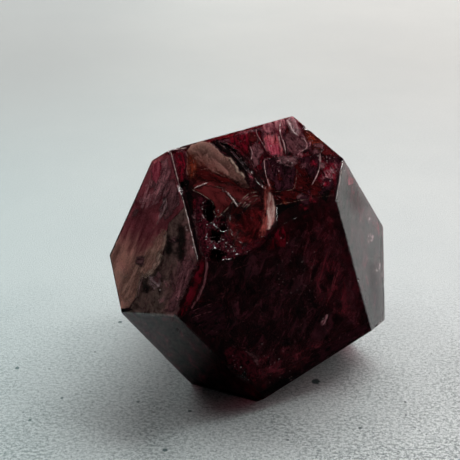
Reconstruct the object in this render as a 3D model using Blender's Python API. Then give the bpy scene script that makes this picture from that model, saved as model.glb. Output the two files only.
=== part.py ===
"""A palm-sized garnet crystal with polished facets, chips and natural pits.

The crystal is one solid. It starts as a block, and every flat facet is one planar cut of that
block. The sharp edges are softened, and then the broken places are taken out: a wide shell-like
scoop across the front edge of the crown, the open crack above it, deep pits inside it, smaller
chips on the edges and two natural hollows at the back.

Lengths below are in millimetres and are turned into metres when the meshes are made. The crystal
rests on its base facet at z = 0, with its bounding box centred on the Z axis.
"""

import math
import random
from dataclasses import dataclass

import bmesh
import bpy
from mathutils import Matrix, Vector, noise

MM = 0.001
BLOCK_SIZE = 120.0
HEART_HEIGHT = 25.0
EDGE_SOFTENING = 0.22

# How the ball that cuts a hollow compares with the hollow: its half height over the hollow's depth.
SHALLOWNESS = 4.0
DETAIL_FINE, DETAIL_MEDIUM, DETAIL_COARSE = 5, 4, 3

# A hollow's relief: its waves and its shell-like rings over the hollow's reach, and their wander.
RELIEF_WAVES = 3.2
RELIEF_FALL, RELIEF_GAP, RELIEF_OCTAVES = 0.7, 2.1, 3
RING_WAVES = 9.5
RING_WANDER = 1.6

CRACK_RADIUS = 1.15
CRACK_SINK = 0.1
CRACK_ROUGHNESS = 0.3
CRACK_LUMPS = 2.0
CRACK_SIDES = 10
CRACK_STEPS = 3
CRACK_GRAIN = 0.9

NICK_COUNT = 22
NICK_RADIUS = (0.45, 0.95)
NICK_OFFSET = 0.55
NICK_MARGIN = 0.14
NICK_ROUGHNESS = 0.35
NICK_LUMPS = 1.7
NICK_DETAIL = 2
NICK_SEED = 41
SHORTEST_NICKED_EDGE = 8 * EDGE_SOFTENING

GARNET_COLOUR = (0.16, 0.012, 0.028, 1.0)
GARNET_ROUGHNESS = 0.08


@dataclass(frozen=True)
class Facet:
    """A flat face: where its outward normal points, and how far it lies from the heart.

    Azimuth is in degrees from -Y towards +X, and elevation in degrees above the horizon.
    """

    name: str
    azimuth: float
    elevation: float
    distance: float

    def normal(self):
        azimuth, elevation = math.radians(self.azimuth), math.radians(self.elevation)
        level = math.cos(elevation)
        return Vector((level * math.sin(azimuth), -level * math.cos(azimuth), math.sin(elevation)))


@dataclass(frozen=True)
class Hollow:
    """A broken place: its middle on the surface, its half sizes there and its depth.

    It opens towards the mean normal of the facets that it breaks. Turn, in degrees about that
    direction, sets where its length runs, counted from level. Ribs are the rings of a shell-like
    break, and roughness is the height of its random relief.
    """

    name: str
    facets: tuple
    middle: tuple
    half_length: float
    half_width: float
    depth: float
    turn: float = 0.0
    ribs: float = 0.0
    roughness: float = 0.1
    detail: int = DETAIL_COARSE


FACETS = (
    Facet("front", 28.2, 16.1, 18.3),
    Facet("crown", 14.2, 58.5, 17.1),
    Facet("right_flank", 66.0, 18.8, 21.9),
    Facet("left_flank", -46.1, 38.0, 24.2),
    Facet("left_underside", -26.1, -26.2, 31.7),
    Facet("right_underside", 50.0, -48.6, 30.0),
    Facet("base", 180.0, -90.0, HEART_HEIGHT),
    Facet("right_shoulder", 120.2, 34.6, 24.5),
    Facet("right_heel", 118.4, -26.0, 28.3),
    Facet("left_heel", -97.6, -33.9, 22.6),
    Facet("left_rear", -112.5, 13.2, 23.0),
    Facet("rear_crown", -147.5, 46.7, 20.7),
    Facet("rear", -174.2, -15.2, 26.1),
    Facet("crown_corner", -77.0, 76.7, 24.5),
)
BY_NAME = {facet.name: facet for facet in FACETS}

HOLLOWS = (
    Hollow("scoop", ("crown",) * 4 + ("front",), (-2.8, -13.1, 37.9), 13.3, 6.7, 1.8,
           turn=63.5, ribs=0.16, roughness=0.22, detail=DETAIL_FINE),
    Hollow("upper_pit", ("crown",), (-9.1, -14.7, 37.7), 2.9, 1.4, 2.9, turn=80.0, roughness=0.35),
    Hollow("middle_pit", ("crown",), (-7.8, -19.0, 34.6), 1.7, 1.5, 3.0, turn=20.0, roughness=0.35),
    Hollow("side_pit", ("crown",), (-6.2, -16.5, 35.6), 1.3, 1.1, 2.7, roughness=0.25),
    Hollow("lower_pit", ("crown", "front"), (-7.2, -22.7, 32.1), 2.3, 1.6, 2.9, turn=10.0,
           roughness=0.35),
    Hollow("flank_notch", ("crown", "left_flank"), (-14.6, -9.8, 41.5), 1.3, 0.9, 0.9, turn=70.0),
    Hollow("front_chip", ("front", "left_underside"), (-3.2, -28.3, 9.6), 3.4, 1.8, 0.9,
           turn=-52.0, roughness=0.24, detail=DETAIL_MEDIUM),
    Hollow("shoulder_chip", ("crown", "right_shoulder"), (11.6, 7.2, 48.0), 2.6, 1.2, 0.6,
           turn=-40.0, roughness=0.2),
    Hollow("rear_hollow", ("rear",), (3.0, 25.8, 21.0), 7.5, 5.0, 1.6,
           turn=25.0, ribs=0.12, roughness=0.3, detail=DETAIL_FINE),
    Hollow("heel_hollow", ("left_rear", "left_heel"), (-24.5, 4.0, 20.5), 5.5, 3.2, 1.3,
           turn=-15.0, ribs=0.1, roughness=0.25, detail=DETAIL_MEDIUM),
    Hollow("shoulder_pit", ("right_shoulder",), (21.0, 11.5, 36.0), 1.9, 1.3, 1.4, turn=35.0,
           roughness=0.25),
)

# The open crack's route over the crown, as points above the crown facet's own plane.
CRACK_ROUTE = ((-8.1, 1.5, 47.1), (-6.0, 0.9, 46.5), (-3.9, -0.2, 45.5), (-2.2, -2.0, 44.2),
               (-0.8, -3.9, 42.9), (0.9, -5.7, 41.5), (2.3, -7.7, 40.1))


def clear_scene():
    """Removes whatever the scene holds."""
    for held in list(bpy.data.objects):
        bpy.data.objects.remove(held, do_unlink=True)


def make_collection(name):
    collection = bpy.data.collections.new(name)
    bpy.context.scene.collection.children.link(collection)
    return collection


def make_object(name, bm, collection):
    """Turns a bmesh in millimetres into an object in metres."""
    bmesh.ops.scale(bm, vec=Vector((MM, MM, MM)), verts=bm.verts)
    bmesh.ops.recalc_face_normals(bm, faces=bm.faces)
    mesh = bpy.data.meshes.new(name)
    bm.to_mesh(mesh)
    bm.free()
    made = bpy.data.objects.new(name, mesh)
    collection.objects.link(made)
    return made


def cut_facet(bm, facet):
    """Cuts the block flat along one facet and closes the cut."""
    everything = bm.verts[:] + bm.edges[:] + bm.faces[:]
    cut = bmesh.ops.bisect_plane(bm, geom=everything, plane_co=facet.normal() * facet.distance,
                                 plane_no=facet.normal(), clear_outer=True)
    rim = [item for item in cut["geom_cut"] if isinstance(item, bmesh.types.BMEdge)]
    bmesh.ops.edgeloop_fill(bm, edges=rim)


def faceted_block():
    """The whole crystal's facets, with softened edges, centred over the origin."""
    bm = bmesh.new()
    bmesh.ops.create_cube(bm, size=BLOCK_SIZE)
    for facet in FACETS:
        cut_facet(bm, facet)
    bmesh.ops.bevel(bm, geom=bm.edges[:], offset=EDGE_SOFTENING, segments=1, affect="EDGES")
    corners = [vertex.co for vertex in bm.verts]
    lowest = Vector([min(corner[i] for corner in corners) for i in range(3)])
    highest = Vector([max(corner[i] for corner in corners) for i in range(3)])
    middle = (lowest + highest) / 2
    bmesh.ops.translate(bm, verts=bm.verts, vec=-Vector((middle.x, middle.y, lowest.z)))
    return bm


def facing(names):
    """The direction in which a hollow opens: the mean normal of the facets that it breaks."""
    return sum((BY_NAME[name].normal() for name in names), Vector()).normalized()


def hollow_frame(hollow):
    """The turned axes of a hollow at its middle, with Z pointing out of the crystal."""
    out = facing(hollow.facets)
    level = Vector((0, 0, 1)).cross(out).normalized()
    axes = Matrix((level, out.cross(level), out)).transposed()
    turned = axes @ Matrix.Rotation(math.radians(hollow.turn), 3, "Z")
    return Matrix.Translation(hollow.middle) @ turned.to_4x4()


def hollow_cutter(hollow, collection):
    """A rough, flattened ball that leaves a hollow of the stated size when it is cut away."""
    half_height = SHALLOWNESS * hollow.depth
    lift = half_height - hollow.depth
    spread = math.sqrt(1 - (lift / half_height) ** 2)
    half_sizes = Vector((hollow.half_length / spread, hollow.half_width / spread, half_height))
    bm = bmesh.new()
    bmesh.ops.create_icosphere(bm, subdivisions=hollow.detail, radius=1.0)
    seed = Vector(hollow.middle)
    reach = max(hollow.half_length, hollow.half_width)
    for vertex in bm.verts:
        outward = vertex.co.normalized()
        place = Vector(outward[i] * half_sizes[i] for i in range(3))
        grain = place * (RELIEF_WAVES / reach) + seed
        relief = hollow.roughness * noise.fractal(grain, RELIEF_FALL, RELIEF_GAP, RELIEF_OCTAVES)
        across = math.hypot(place.x + reach / 2, place.y)
        wander = RING_WANDER * noise.noise(place / reach + seed)
        relief += hollow.ribs * math.sin(across * RING_WAVES / reach + wander)
        vertex.co = place + outward * relief + Vector((0, 0, lift))
    bmesh.ops.transform(bm, matrix=hollow_frame(hollow), verts=bm.verts)
    return make_object("cut_" + hollow.name, bm, collection)


def crack_cutter(collection):
    """A rough tube along the open crack, sunk a little into the crown."""
    normal = BY_NAME["crown"].normal()
    route = [Vector(point) - normal * CRACK_SINK for point in CRACK_ROUTE]
    bm = bmesh.new()
    rings = []
    stations = [start.lerp(end, step / CRACK_STEPS)
                for start, end in zip(route, route[1:]) for step in range(CRACK_STEPS)]
    stations.append(route[-1])
    for index, station in enumerate(stations):
        ahead = stations[min(index + 1, len(stations) - 1)] - stations[max(index - 1, 0)]
        side = ahead.cross(normal).normalized()
        taper = math.sqrt(max(math.sin(math.pi * (index + 0.5) / len(stations)), 0.0))
        ring = []
        for turn in range(CRACK_SIDES):
            angle = 2 * math.pi * turn / CRACK_SIDES
            out = side * math.cos(angle) + normal * math.sin(angle)
            rough = CRACK_ROUGHNESS * noise.noise(station / CRACK_GRAIN + out * CRACK_LUMPS)
            ring.append(bm.verts.new(station + out * (CRACK_RADIUS * taper + rough)))
        rings.append(ring)
    for near, far in zip(rings, rings[1:]):
        for turn in range(CRACK_SIDES):
            after = (turn + 1) % CRACK_SIDES
            bm.faces.new((near[turn], near[after], far[after], far[turn]))
    bm.faces.new(rings[0])
    bm.faces.new(rings[-1])
    return make_object("cut_open_crack", bm, collection)


def crystal_edges(crystal_bm):
    """The long edges between facets, as pairs of end points."""
    return [(edge.verts[0].co.copy(), edge.verts[1].co.copy())
            for edge in crystal_bm.edges if edge.calc_length() > SHORTEST_NICKED_EDGE]


def nick_cutter(edges, heart, collection):
    """Many small rough balls along the edges, as one cutter."""
    chance = random.Random(NICK_SEED)
    bm = bmesh.new()
    for _ in range(NICK_COUNT):
        start, end = edges[chance.randrange(len(edges))]
        radius = chance.uniform(*NICK_RADIUS)
        place = start.lerp(end, chance.uniform(NICK_MARGIN, 1 - NICK_MARGIN))
        place += (place - heart).normalized() * radius * NICK_OFFSET
        made = bmesh.ops.create_icosphere(bm, subdivisions=NICK_DETAIL, radius=radius)
        for vertex in made["verts"]:
            vertex.co *= 1 + NICK_ROUGHNESS * noise.noise(vertex.co * NICK_LUMPS + place)
            vertex.co += place
    return make_object("cut_edge_nicks", bm, collection)


def subtract(target, cutter):
    """Takes a cutter's shape out of the target with a Boolean."""
    cutter.hide_render = True
    cutter.display_type = "WIRE"
    boolean = target.modifiers.new(cutter.name, "BOOLEAN")
    boolean.operation = "DIFFERENCE"
    boolean.solver = "EXACT"
    boolean.object = cutter


def garnet_material():
    material = bpy.data.materials.new("garnet")
    material.use_nodes = True
    shader = material.node_tree.nodes["Principled BSDF"]
    shader.inputs["Base Color"].default_value = GARNET_COLOUR
    shader.inputs["Roughness"].default_value = GARNET_ROUGHNESS
    material.diffuse_color = GARNET_COLOUR
    return material


def main():
    clear_scene()
    parts = make_collection("garnet_crystal")
    cutters = make_collection("cutters")
    block = faceted_block()
    edges = crystal_edges(block)
    crystal = make_object("garnet_crystal", block, parts)
    crystal.data.materials.append(garnet_material())
    for hollow in HOLLOWS:
        subtract(crystal, hollow_cutter(hollow, cutters))
    subtract(crystal, crack_cutter(cutters))
    subtract(crystal, nick_cutter(edges, Vector((0, 0, HEART_HEIGHT)), cutters))


main()
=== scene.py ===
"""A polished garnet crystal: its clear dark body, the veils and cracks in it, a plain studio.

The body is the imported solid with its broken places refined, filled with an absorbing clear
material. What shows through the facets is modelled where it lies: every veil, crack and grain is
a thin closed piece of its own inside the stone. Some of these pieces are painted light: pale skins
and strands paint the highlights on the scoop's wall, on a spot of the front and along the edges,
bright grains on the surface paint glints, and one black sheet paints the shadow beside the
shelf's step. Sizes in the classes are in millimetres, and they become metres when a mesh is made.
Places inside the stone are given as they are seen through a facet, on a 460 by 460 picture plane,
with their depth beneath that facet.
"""

import logging
import math
import random
from dataclasses import dataclass, field
from enum import Enum
from typing import ClassVar, NamedTuple

import bmesh
import bpy
from mathutils import Euler, Matrix, Vector, noise
from mathutils.bvhtree import BVHTree
from mathutils.geometry import delaunay_2d_cdt
from mathutils.kdtree import KDTree


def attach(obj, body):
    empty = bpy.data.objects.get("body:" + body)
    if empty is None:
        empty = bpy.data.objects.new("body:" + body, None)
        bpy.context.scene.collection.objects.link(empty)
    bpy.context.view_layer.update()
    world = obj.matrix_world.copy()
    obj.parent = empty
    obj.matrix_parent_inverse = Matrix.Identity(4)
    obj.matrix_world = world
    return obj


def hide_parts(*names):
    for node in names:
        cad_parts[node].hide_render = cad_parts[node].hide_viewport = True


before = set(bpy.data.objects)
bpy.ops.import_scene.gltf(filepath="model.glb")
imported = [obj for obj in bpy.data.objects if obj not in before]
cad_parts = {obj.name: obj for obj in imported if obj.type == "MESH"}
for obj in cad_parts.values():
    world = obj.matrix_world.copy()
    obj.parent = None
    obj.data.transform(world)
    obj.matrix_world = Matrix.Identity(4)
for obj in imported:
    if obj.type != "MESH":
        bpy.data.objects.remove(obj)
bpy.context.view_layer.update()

LOG = logging.getLogger("garnet")
MM = 0.001
GARNET_IOR = 1.78
STONE_NODE = "garnet_crystal"
STONE_BODY = "root"

# Attributes of the meshes. A rim value goes from 0 to 1 over RIM_SPAN picture points.
BROKEN = "broken"
FLOW = "flow"
RIM = "rim"
SHADE = "shade"
RIM_SPAN = 20.0
# The size of a picture point on the stone, in millimetres.
POINT_SIZE = 0.2

Pixel = tuple[float, float]
Span = tuple[float, float]
Axes = tuple[float, float, float]
Colour = tuple[float, float, float]


class Grain(NamedTuple):
    """Fractal noise: cells to a millimetre, finer layers, how strong they are, and warp."""

    per_mm: float
    detail: float = 4.0
    rough: float = 0.6
    warp: float = 0.0


# ---------------------------------------------------------------------------------------------
# Shader maths
# ---------------------------------------------------------------------------------------------
class Signal:
    """A shader socket that can stand in a Python sum."""

    def __init__(self, graph: "Graph", socket: bpy.types.NodeSocket) -> None:
        """Keeps the socket and the graph that it belongs to."""
        self.graph = graph
        self.socket = socket

    def _maths(self, operation: str, *values: "Signal | float") -> "Signal":
        """Adds one Math node.

        Args:
            operation: the Math node's operation.
            values: its inputs in order, as signals or numbers.

        Returns:
            The node's result.
        """
        return self.graph.node("ShaderNodeMath", {"operation": operation}, dict(enumerate(values)))

    def __add__(self, other: "Signal | float") -> "Signal":
        """Returns self + other."""
        return self._maths("ADD", self, other)

    def __radd__(self, other: float) -> "Signal":
        """Returns other + self."""
        return self._maths("ADD", other, self)

    def __sub__(self, other: "Signal | float") -> "Signal":
        """Returns self - other."""
        return self._maths("SUBTRACT", self, other)

    def __rsub__(self, other: float) -> "Signal":
        """Returns other - self."""
        return self._maths("SUBTRACT", other, self)

    def __mul__(self, other: "Signal | float") -> "Signal":
        """Returns self * other."""
        return self._maths("MULTIPLY", self, other)

    def __rmul__(self, other: float) -> "Signal":
        """Returns other * self."""
        return self._maths("MULTIPLY", other, self)

    def most(self, other: "Signal | float") -> "Signal":
        """Returns the larger of the two."""
        return self._maths("MAXIMUM", self, other)

    def sine(self) -> "Signal":
        """Returns its sine."""
        return self._maths("SINE", self)

    def between(self, low: float, high: float) -> "Signal":
        """Returns a smooth step from 0 at low to 1 at high."""
        return self.graph.node(
            "ShaderNodeMapRange",
            {"interpolation_type": "SMOOTHSTEP"},
            {"Value": self, "From Min": low, "From Max": high},
        )


class Graph:
    """A material's node tree, built call by call."""

    def __init__(self, name: str) -> None:
        """Starts an empty material of that name."""
        self.material = bpy.data.materials.new(name)
        self.material.use_nodes = True
        self.tree = self.material.node_tree
        self.tree.nodes.clear()

    def node(self, kind: str, settings: dict, inputs: dict, output: int | str = 0) -> Signal:
        """Adds any node.

        Args:
            kind: the node's type.
            settings: its properties, set before its sockets.
            inputs: values or signals by socket name or number.
            output: the socket to return.

        Returns:
            The chosen output.
        """
        made = self.tree.nodes.new(kind)
        for name, value in settings.items():
            setattr(made, name, value)
        for name, value in inputs.items():
            if isinstance(value, Signal):
                self.tree.links.new(value.socket, made.inputs[name])
            else:
                made.inputs[name].default_value = value
        return Signal(self, made.outputs[output])

    def place(self, turn: Axes = (0.0, 0.0, 0.0), stretch: Axes = (1.0, 1.0, 1.0)) -> Signal:
        """Returns the Object coordinates, turned by degrees and stretched."""
        where = self.node("ShaderNodeTexCoord", {}, {}, "Object")
        turned = tuple(math.radians(angle) for angle in turn)
        return self.node(
            "ShaderNodeMapping", {}, {"Vector": where, "Rotation": turned, "Scale": stretch}
        )

    def grain(self, where: Signal, grain: Grain) -> Signal:
        """Returns fractal noise from 0 to 1."""
        return self.node(
            "ShaderNodeTexNoise",
            {},
            {"Vector": where, "Scale": grain.per_mm / MM, "Detail": grain.detail,
             "Roughness": grain.rough, "Distortion": grain.warp},
        )

    def blend(self, share: Signal, first: Signal | Colour, second: Signal | Colour) -> Signal:
        """Returns first turning to second as share goes from 0 to 1."""
        ends = [c if isinstance(c, Signal) else (*c, 1.0) for c in (first, second)]
        return self.node(
            "ShaderNodeMix", {"data_type": "RGBA"}, {0: share, 6: ends[0], 7: ends[1]}, 2
        )

    def relief(self, height: Signal, depth_mm: float) -> Signal:
        """Returns the normal of a surface with that relief."""
        return self.node(
            "ShaderNodeBump", {}, {"Height": height, "Distance": depth_mm * MM, "Strength": 1.0}
        )

    def axis(self, where: Signal, name: str) -> Signal:
        """Returns one of a vector's axes."""
        return self.node("ShaderNodeSeparateXYZ", {}, {0: where}, name)

    def attribute(self, name: str) -> Signal:
        """Returns a mesh attribute's value."""
        return self.node("ShaderNodeAttribute", {"attribute_name": name}, {}, "Fac")

    def surface(self, shader: Signal, volume: Signal | None = None) -> bpy.types.Material:
        """Closes the graph.

        Args:
            shader: what the surface shows.
            volume: what fills it, if anything does.

        Returns:
            The finished material.
        """
        ends = {"Surface": shader} if volume is None else {"Surface": shader, "Volume": volume}
        out = self.tree.nodes.new("ShaderNodeOutputMaterial")
        for name, signal in ends.items():
            self.tree.links.new(signal.socket, out.inputs[name])
        return self.material


# ---------------------------------------------------------------------------------------------
# Finishes
# ---------------------------------------------------------------------------------------------
@dataclass(frozen=True)
class CrystalFinish:
    """The clear dark garnet itself.

    Light dims on its way through by the absorbed colour and density, so thick places are nearly
    black and thin edges glow red. Polished facets carry faint rubbing marks, and broken places
    are a little rough.
    """

    clear: Colour = (0.97, 0.92, 0.92)
    absorbed: Colour = (0.76, 0.03, 0.24)
    density: float = 205.0
    polished: float = 0.025
    rubbed: float = 0.05
    broken: float = 0.12
    mark_depth: float = 0.004
    chip_depth: float = 0.03
    lamp_share: Colour = (0.62, 0.56, 0.57)
    smear: Grain = Grain(0.16, 3.0)
    smeared: Span = (0.45, 0.75)
    mark: Grain = Grain(2.4, 2.0)
    marked: Span = (0.62, 0.70)
    mark_stretch: Axes = (1.0, 0.03, 0.03)
    mark_turns: tuple[Axes, ...] = ((10.0, 25.0, 40.0), (70.0, -30.0, 110.0))
    crumb: Grain = Grain(1.6, 6.0, 0.7)

    def make(self) -> bpy.types.Material:
        """Returns the body's material."""
        graph = Graph("garnet_body")
        broken = graph.attribute(BROKEN)
        where = graph.place()
        smear = graph.grain(where, self.smear).between(*self.smeared)
        marks = [
            graph.grain(graph.place(turn, self.mark_stretch), self.mark).between(*self.marked)
            for turn in self.mark_turns
        ]
        scratches = marks[0].most(marks[1]) * smear
        crumbs = graph.grain(where, self.crumb)
        roughness = self.polished + self.rubbed * smear * scratches + self.broken * broken
        relief = graph.relief(
            scratches * (1.0 - broken) * (self.mark_depth / self.chip_depth) + crumbs * broken,
            self.chip_depth,
        )
        body = graph.node(
            "ShaderNodeBsdfPrincipled",
            {},
            {"Base Color": (*self.clear, 1.0), "Roughness": roughness, "IOR": GARNET_IOR,
             "Transmission Weight": 1.0, "Normal": relief},
        )
        lamp = graph.node("ShaderNodeBsdfTransparent", {}, {"Color": (*self.lamp_share, 1.0)})
        path = graph.node("ShaderNodeLightPath", {}, {}, "Is Shadow Ray")
        shader = graph.node("ShaderNodeMixShader", {}, {0: path, 1: body, 2: lamp})
        volume = graph.node(
            "ShaderNodeVolumeAbsorption",
            {},
            {"Color": (*self.absorbed, 1.0), "Density": self.density},
        )
        return graph.surface(shader, volume)


@dataclass(frozen=True)
class VeilFinish:
    """A thin cloud or break inside the stone, patterned along its own flow.

    Along and across are the pattern's cells to a millimetre. Cover is where the pattern turns
    from clear to solid, and fade is how far in from the rim it does so, in picture points. Bands
    are growth lines that follow the rim. Far is the colour at the far end of a veil that shades.
    """

    dark: Colour
    light: Colour
    cover: Span = (0.35, 0.6)
    along: float = 0.6
    across: float = 0.9
    warp: float = 0.5
    contrast: float = 0.12
    roughness: float = 0.5
    gloss: float = 0.0
    relief: float = 0.2
    fade: float = 3.0
    most: float = 1.0
    bands: float = 0.0
    far: Colour | None = None
    fine: ClassVar[Grain] = Grain(3.2, 3.0, 0.7)
    cloud_detail: ClassVar[float] = 5.0
    cloud_rough: ClassVar[float] = 0.62
    tone_share: ClassVar[float] = 0.65
    cover_share: ClassVar[float] = 0.7
    band_wander: ClassVar[float] = 14.0
    band_strength: ClassVar[float] = 0.06
    far_wander: ClassVar[float] = 0.9
    far_span: ClassVar[Span] = (0.25, 0.75)
    far_tones: ClassVar[Span] = (0.4, 0.6)
    far_dark: ClassVar[float] = 0.5

    def make(self, name: str) -> bpy.types.Material:
        """Returns the veil's material, with that name."""
        graph = Graph(name)
        flow = graph.node("ShaderNodeUVMap", {"uv_map": FLOW}, {})
        flow = graph.node(
            "ShaderNodeMapping", {}, {"Vector": flow, "Scale": (self.along, self.across, 1.0)}
        )
        cloud = graph.grain(flow, Grain(MM, self.cloud_detail, self.cloud_rough, self.warp))
        fine = graph.grain(graph.place(), self.fine)
        rim = graph.attribute(RIM) * RIM_SPAN
        value = cloud * self.tone_share + fine * (1.0 - self.tone_share)
        if self.bands:
            line = (rim * self.bands + cloud * self.band_wander).sine()
            value = value + line * self.band_strength
        tone = graph.blend(
            value.between(0.5 - self.contrast, 0.5 + self.contrast), self.dark, self.light
        )
        if self.far:
            shade = (graph.attribute(SHADE) + (cloud - 0.5) * self.far_wander)
            dark = tuple(self.far_dark * channel for channel in self.far)
            far = graph.blend(value.between(*self.far_tones), dark, self.far)
            tone = graph.blend(shade.between(*self.far_span), tone, far)
        cover = cloud * self.cover_share + fine * (1.0 - self.cover_share)
        cover = cover.between(*self.cover)
        alpha = cover * rim.between(0.0, self.fade) * self.most
        shader = graph.node(
            "ShaderNodeBsdfPrincipled",
            {},
            {"Base Color": tone, "Roughness": self.roughness, "Alpha": alpha,
             "Specular IOR Level": self.gloss, "Normal": graph.relief(value, self.relief)},
        )
        return graph.surface(shader)


class Look(Enum):
    """The kinds of inclusion in this stone, some of which serve as painted highlights or painted
    shadow.
    """

    TAN = VeilFinish((0.06, 0.014, 0.010), (0.27, 0.10, 0.07), (0.15, 0.4), 0.35, 0.8,
                     relief=0.3, fade=1.0, bands=0.5, far=(0.45, 0.31, 0.24))
    BEIGE = VeilFinish((0.30, 0.24, 0.17), (0.95, 0.88, 0.70), (0.3, 0.5), 0.8, 1.6, fade=1.5)
    ORANGE = VeilFinish((0.09, 0.012, 0.008), (0.30, 0.06, 0.026), (0.32, 0.55), 0.8, 1.2,
                        fade=4.0)
    BRICK = VeilFinish((0.045, 0.005, 0.006), (0.18, 0.026, 0.028), (0.25, 0.5), 0.35, 0.7,
                       fade=2.0, relief=0.06, contrast=0.18)
    CORAL = VeilFinish((0.50, 0.03, 0.06), (1.0, 0.44, 0.46), (0.3, 0.55), 0.35, 1.8, fade=3.5,
                       contrast=0.1, gloss=0.3)
    # Painted highlight: pale coral-white sheets where the scoop's wall and a spot of the front
    # glint.
    SATIN = VeilFinish((0.50, 0.08, 0.07), (1.0, 0.66, 0.58), (0.15, 0.4), 0.3, 1.8, fade=2.0,
                       contrast=0.14, gloss=0.3, roughness=0.4)
    SOOT = VeilFinish((0.004, 0.004, 0.003), (0.05, 0.045, 0.035), (0.25, 0.5), 0.6, 1.2,
                      fade=4.0, most=0.7)
    FLUSH = VeilFinish((0.34, 0.012, 0.05), (0.92, 0.27, 0.36), (0.2, 0.45), 0.3, 2.0, fade=3.2,
                       contrast=0.12, most=0.9)
    # Painted highlight: the coral fringe around the glint on the scoop's wall.
    GLEAM = VeilFinish((0.10, 0.008, 0.010), (0.62, 0.13, 0.11), (0.25, 0.5), 0.4, 1.6,
                       fade=3.0, most=0.9, roughness=0.6)
    RUST = VeilFinish((0.02, 0.001, 0.002), (0.22, 0.018, 0.022), (0.34, 0.62), 0.5, 0.8,
                      fade=4.5, roughness=0.8, relief=0.1, most=0.85)
    SAGE = VeilFinish((0.32, 0.20, 0.15), (0.92, 0.70, 0.54), (0.30, 0.54), 0.25, 1.4, fade=5.0,
                      most=0.8)
    DUSK = VeilFinish((0.03, 0.010, 0.012), (0.10, 0.04, 0.045), (0.2, 0.5), 0.3, 0.6,
                      fade=14.0, most=0.22, roughness=0.8)
    SILK = VeilFinish((0.22, 0.04, 0.07), (0.80, 0.42, 0.44), (0.2, 0.5), 0.3, 2.0, fade=1.0,
                      most=0.9)
    PINK = VeilFinish((0.38, 0.08, 0.13), (0.95, 0.55, 0.58), (0.42, 0.62), 0.3, 2.0, fade=4.0,
                      most=0.9)
    HAZE = VeilFinish((0.30, 0.16, 0.17), (0.90, 0.76, 0.76), (0.38, 0.60), 0.6, 2.0, fade=2.5,
                      most=0.75, gloss=0.3)
    CRIMSON = VeilFinish((0.03, 0.001, 0.004), (0.36, 0.02, 0.05), (0.3, 0.55), 0.4, 1.1)
    EMBER = VeilFinish((0.012, 0.001, 0.001), (0.13, 0.012, 0.012), (0.25, 0.5), 0.4, 1.0,
                       relief=0.4, fade=6.0)
    LILAC = VeilFinish((0.012, 0.003, 0.006), (0.10, 0.033, 0.05), (0.2, 0.5), 0.35, 1.2,
                       fade=1.5)
    MAUVE = VeilFinish((0.05, 0.016, 0.022), (0.36, 0.20, 0.21), (0.25, 0.5), 0.5, 1.4, fade=3.0)
    ROSE = VeilFinish((0.09, 0.015, 0.025), (0.60, 0.20, 0.23), (0.15, 0.4), 0.12, 0.55, fade=1.0,
                      contrast=0.2, far=(0.90, 0.66, 0.50))
    SMOKE = VeilFinish((0.03, 0.025, 0.020), (0.40, 0.35, 0.28), (0.15, 0.4), 0.5, 0.9,
                       fade=1.0, contrast=0.18, far=(0.50, 0.31, 0.29))
    CLOUD = VeilFinish((0.03, 0.012, 0.014), (0.20, 0.10, 0.12), (0.36, 0.62), 0.2, 0.5,
                       warp=1.2, fade=8.0)
    WINE = VeilFinish((0.04, 0.005, 0.009), (0.38, 0.10, 0.13), (0.42, 0.66), 0.25, 0.7,
                      warp=1.0, fade=8.0)
    # Black cracks and pits; beside the shelf's step it is also painted shadow.
    BLACK = VeilFinish((0.0015, 0.001, 0.001), (0.008, 0.003, 0.003), (0.1, 0.3), 0.8, 0.8,
                       roughness=0.8, fade=1.5)
    CRUST = VeilFinish((0.005, 0.001, 0.002), (0.09, 0.012, 0.020), (0.32, 0.5), 1.6, 1.6,
                       roughness=0.85, fade=2.5, relief=0.25)


# ---------------------------------------------------------------------------------------------
# Where things lie
# ---------------------------------------------------------------------------------------------
class Facet(Enum):
    """The stone's flat faces: azimuth from -Y towards +X and elevation of each, in degrees."""

    FRONT = (28.2, 16.1)
    CROWN = (14.2, 58.5)
    RIGHT_FLANK = (66.0, 18.8)
    LEFT_FLANK = (-46.1, 38.0)
    LEFT_UNDERSIDE = (-26.1, -26.2)
    RIGHT_UNDERSIDE = (50.0, -48.6)
    BASE = (180.0, -90.0)
    RIGHT_SHOULDER = (120.2, 34.6)
    RIGHT_HEEL = (118.4, -26.0)
    LEFT_HEEL = (-97.6, -33.9)
    LEFT_REAR = (-112.5, 13.2)
    REAR_CROWN = (-147.5, 46.7)
    REAR = (-174.2, -15.2)
    CROWN_CORNER = (-77.0, 76.7)

    def normal(self) -> Vector:
        """Returns the outward direction."""
        azimuth, elevation = (math.radians(angle) for angle in self.value)
        level = math.cos(elevation)
        return Vector((level * math.sin(azimuth), -level * math.cos(azimuth), math.sin(elevation)))


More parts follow.
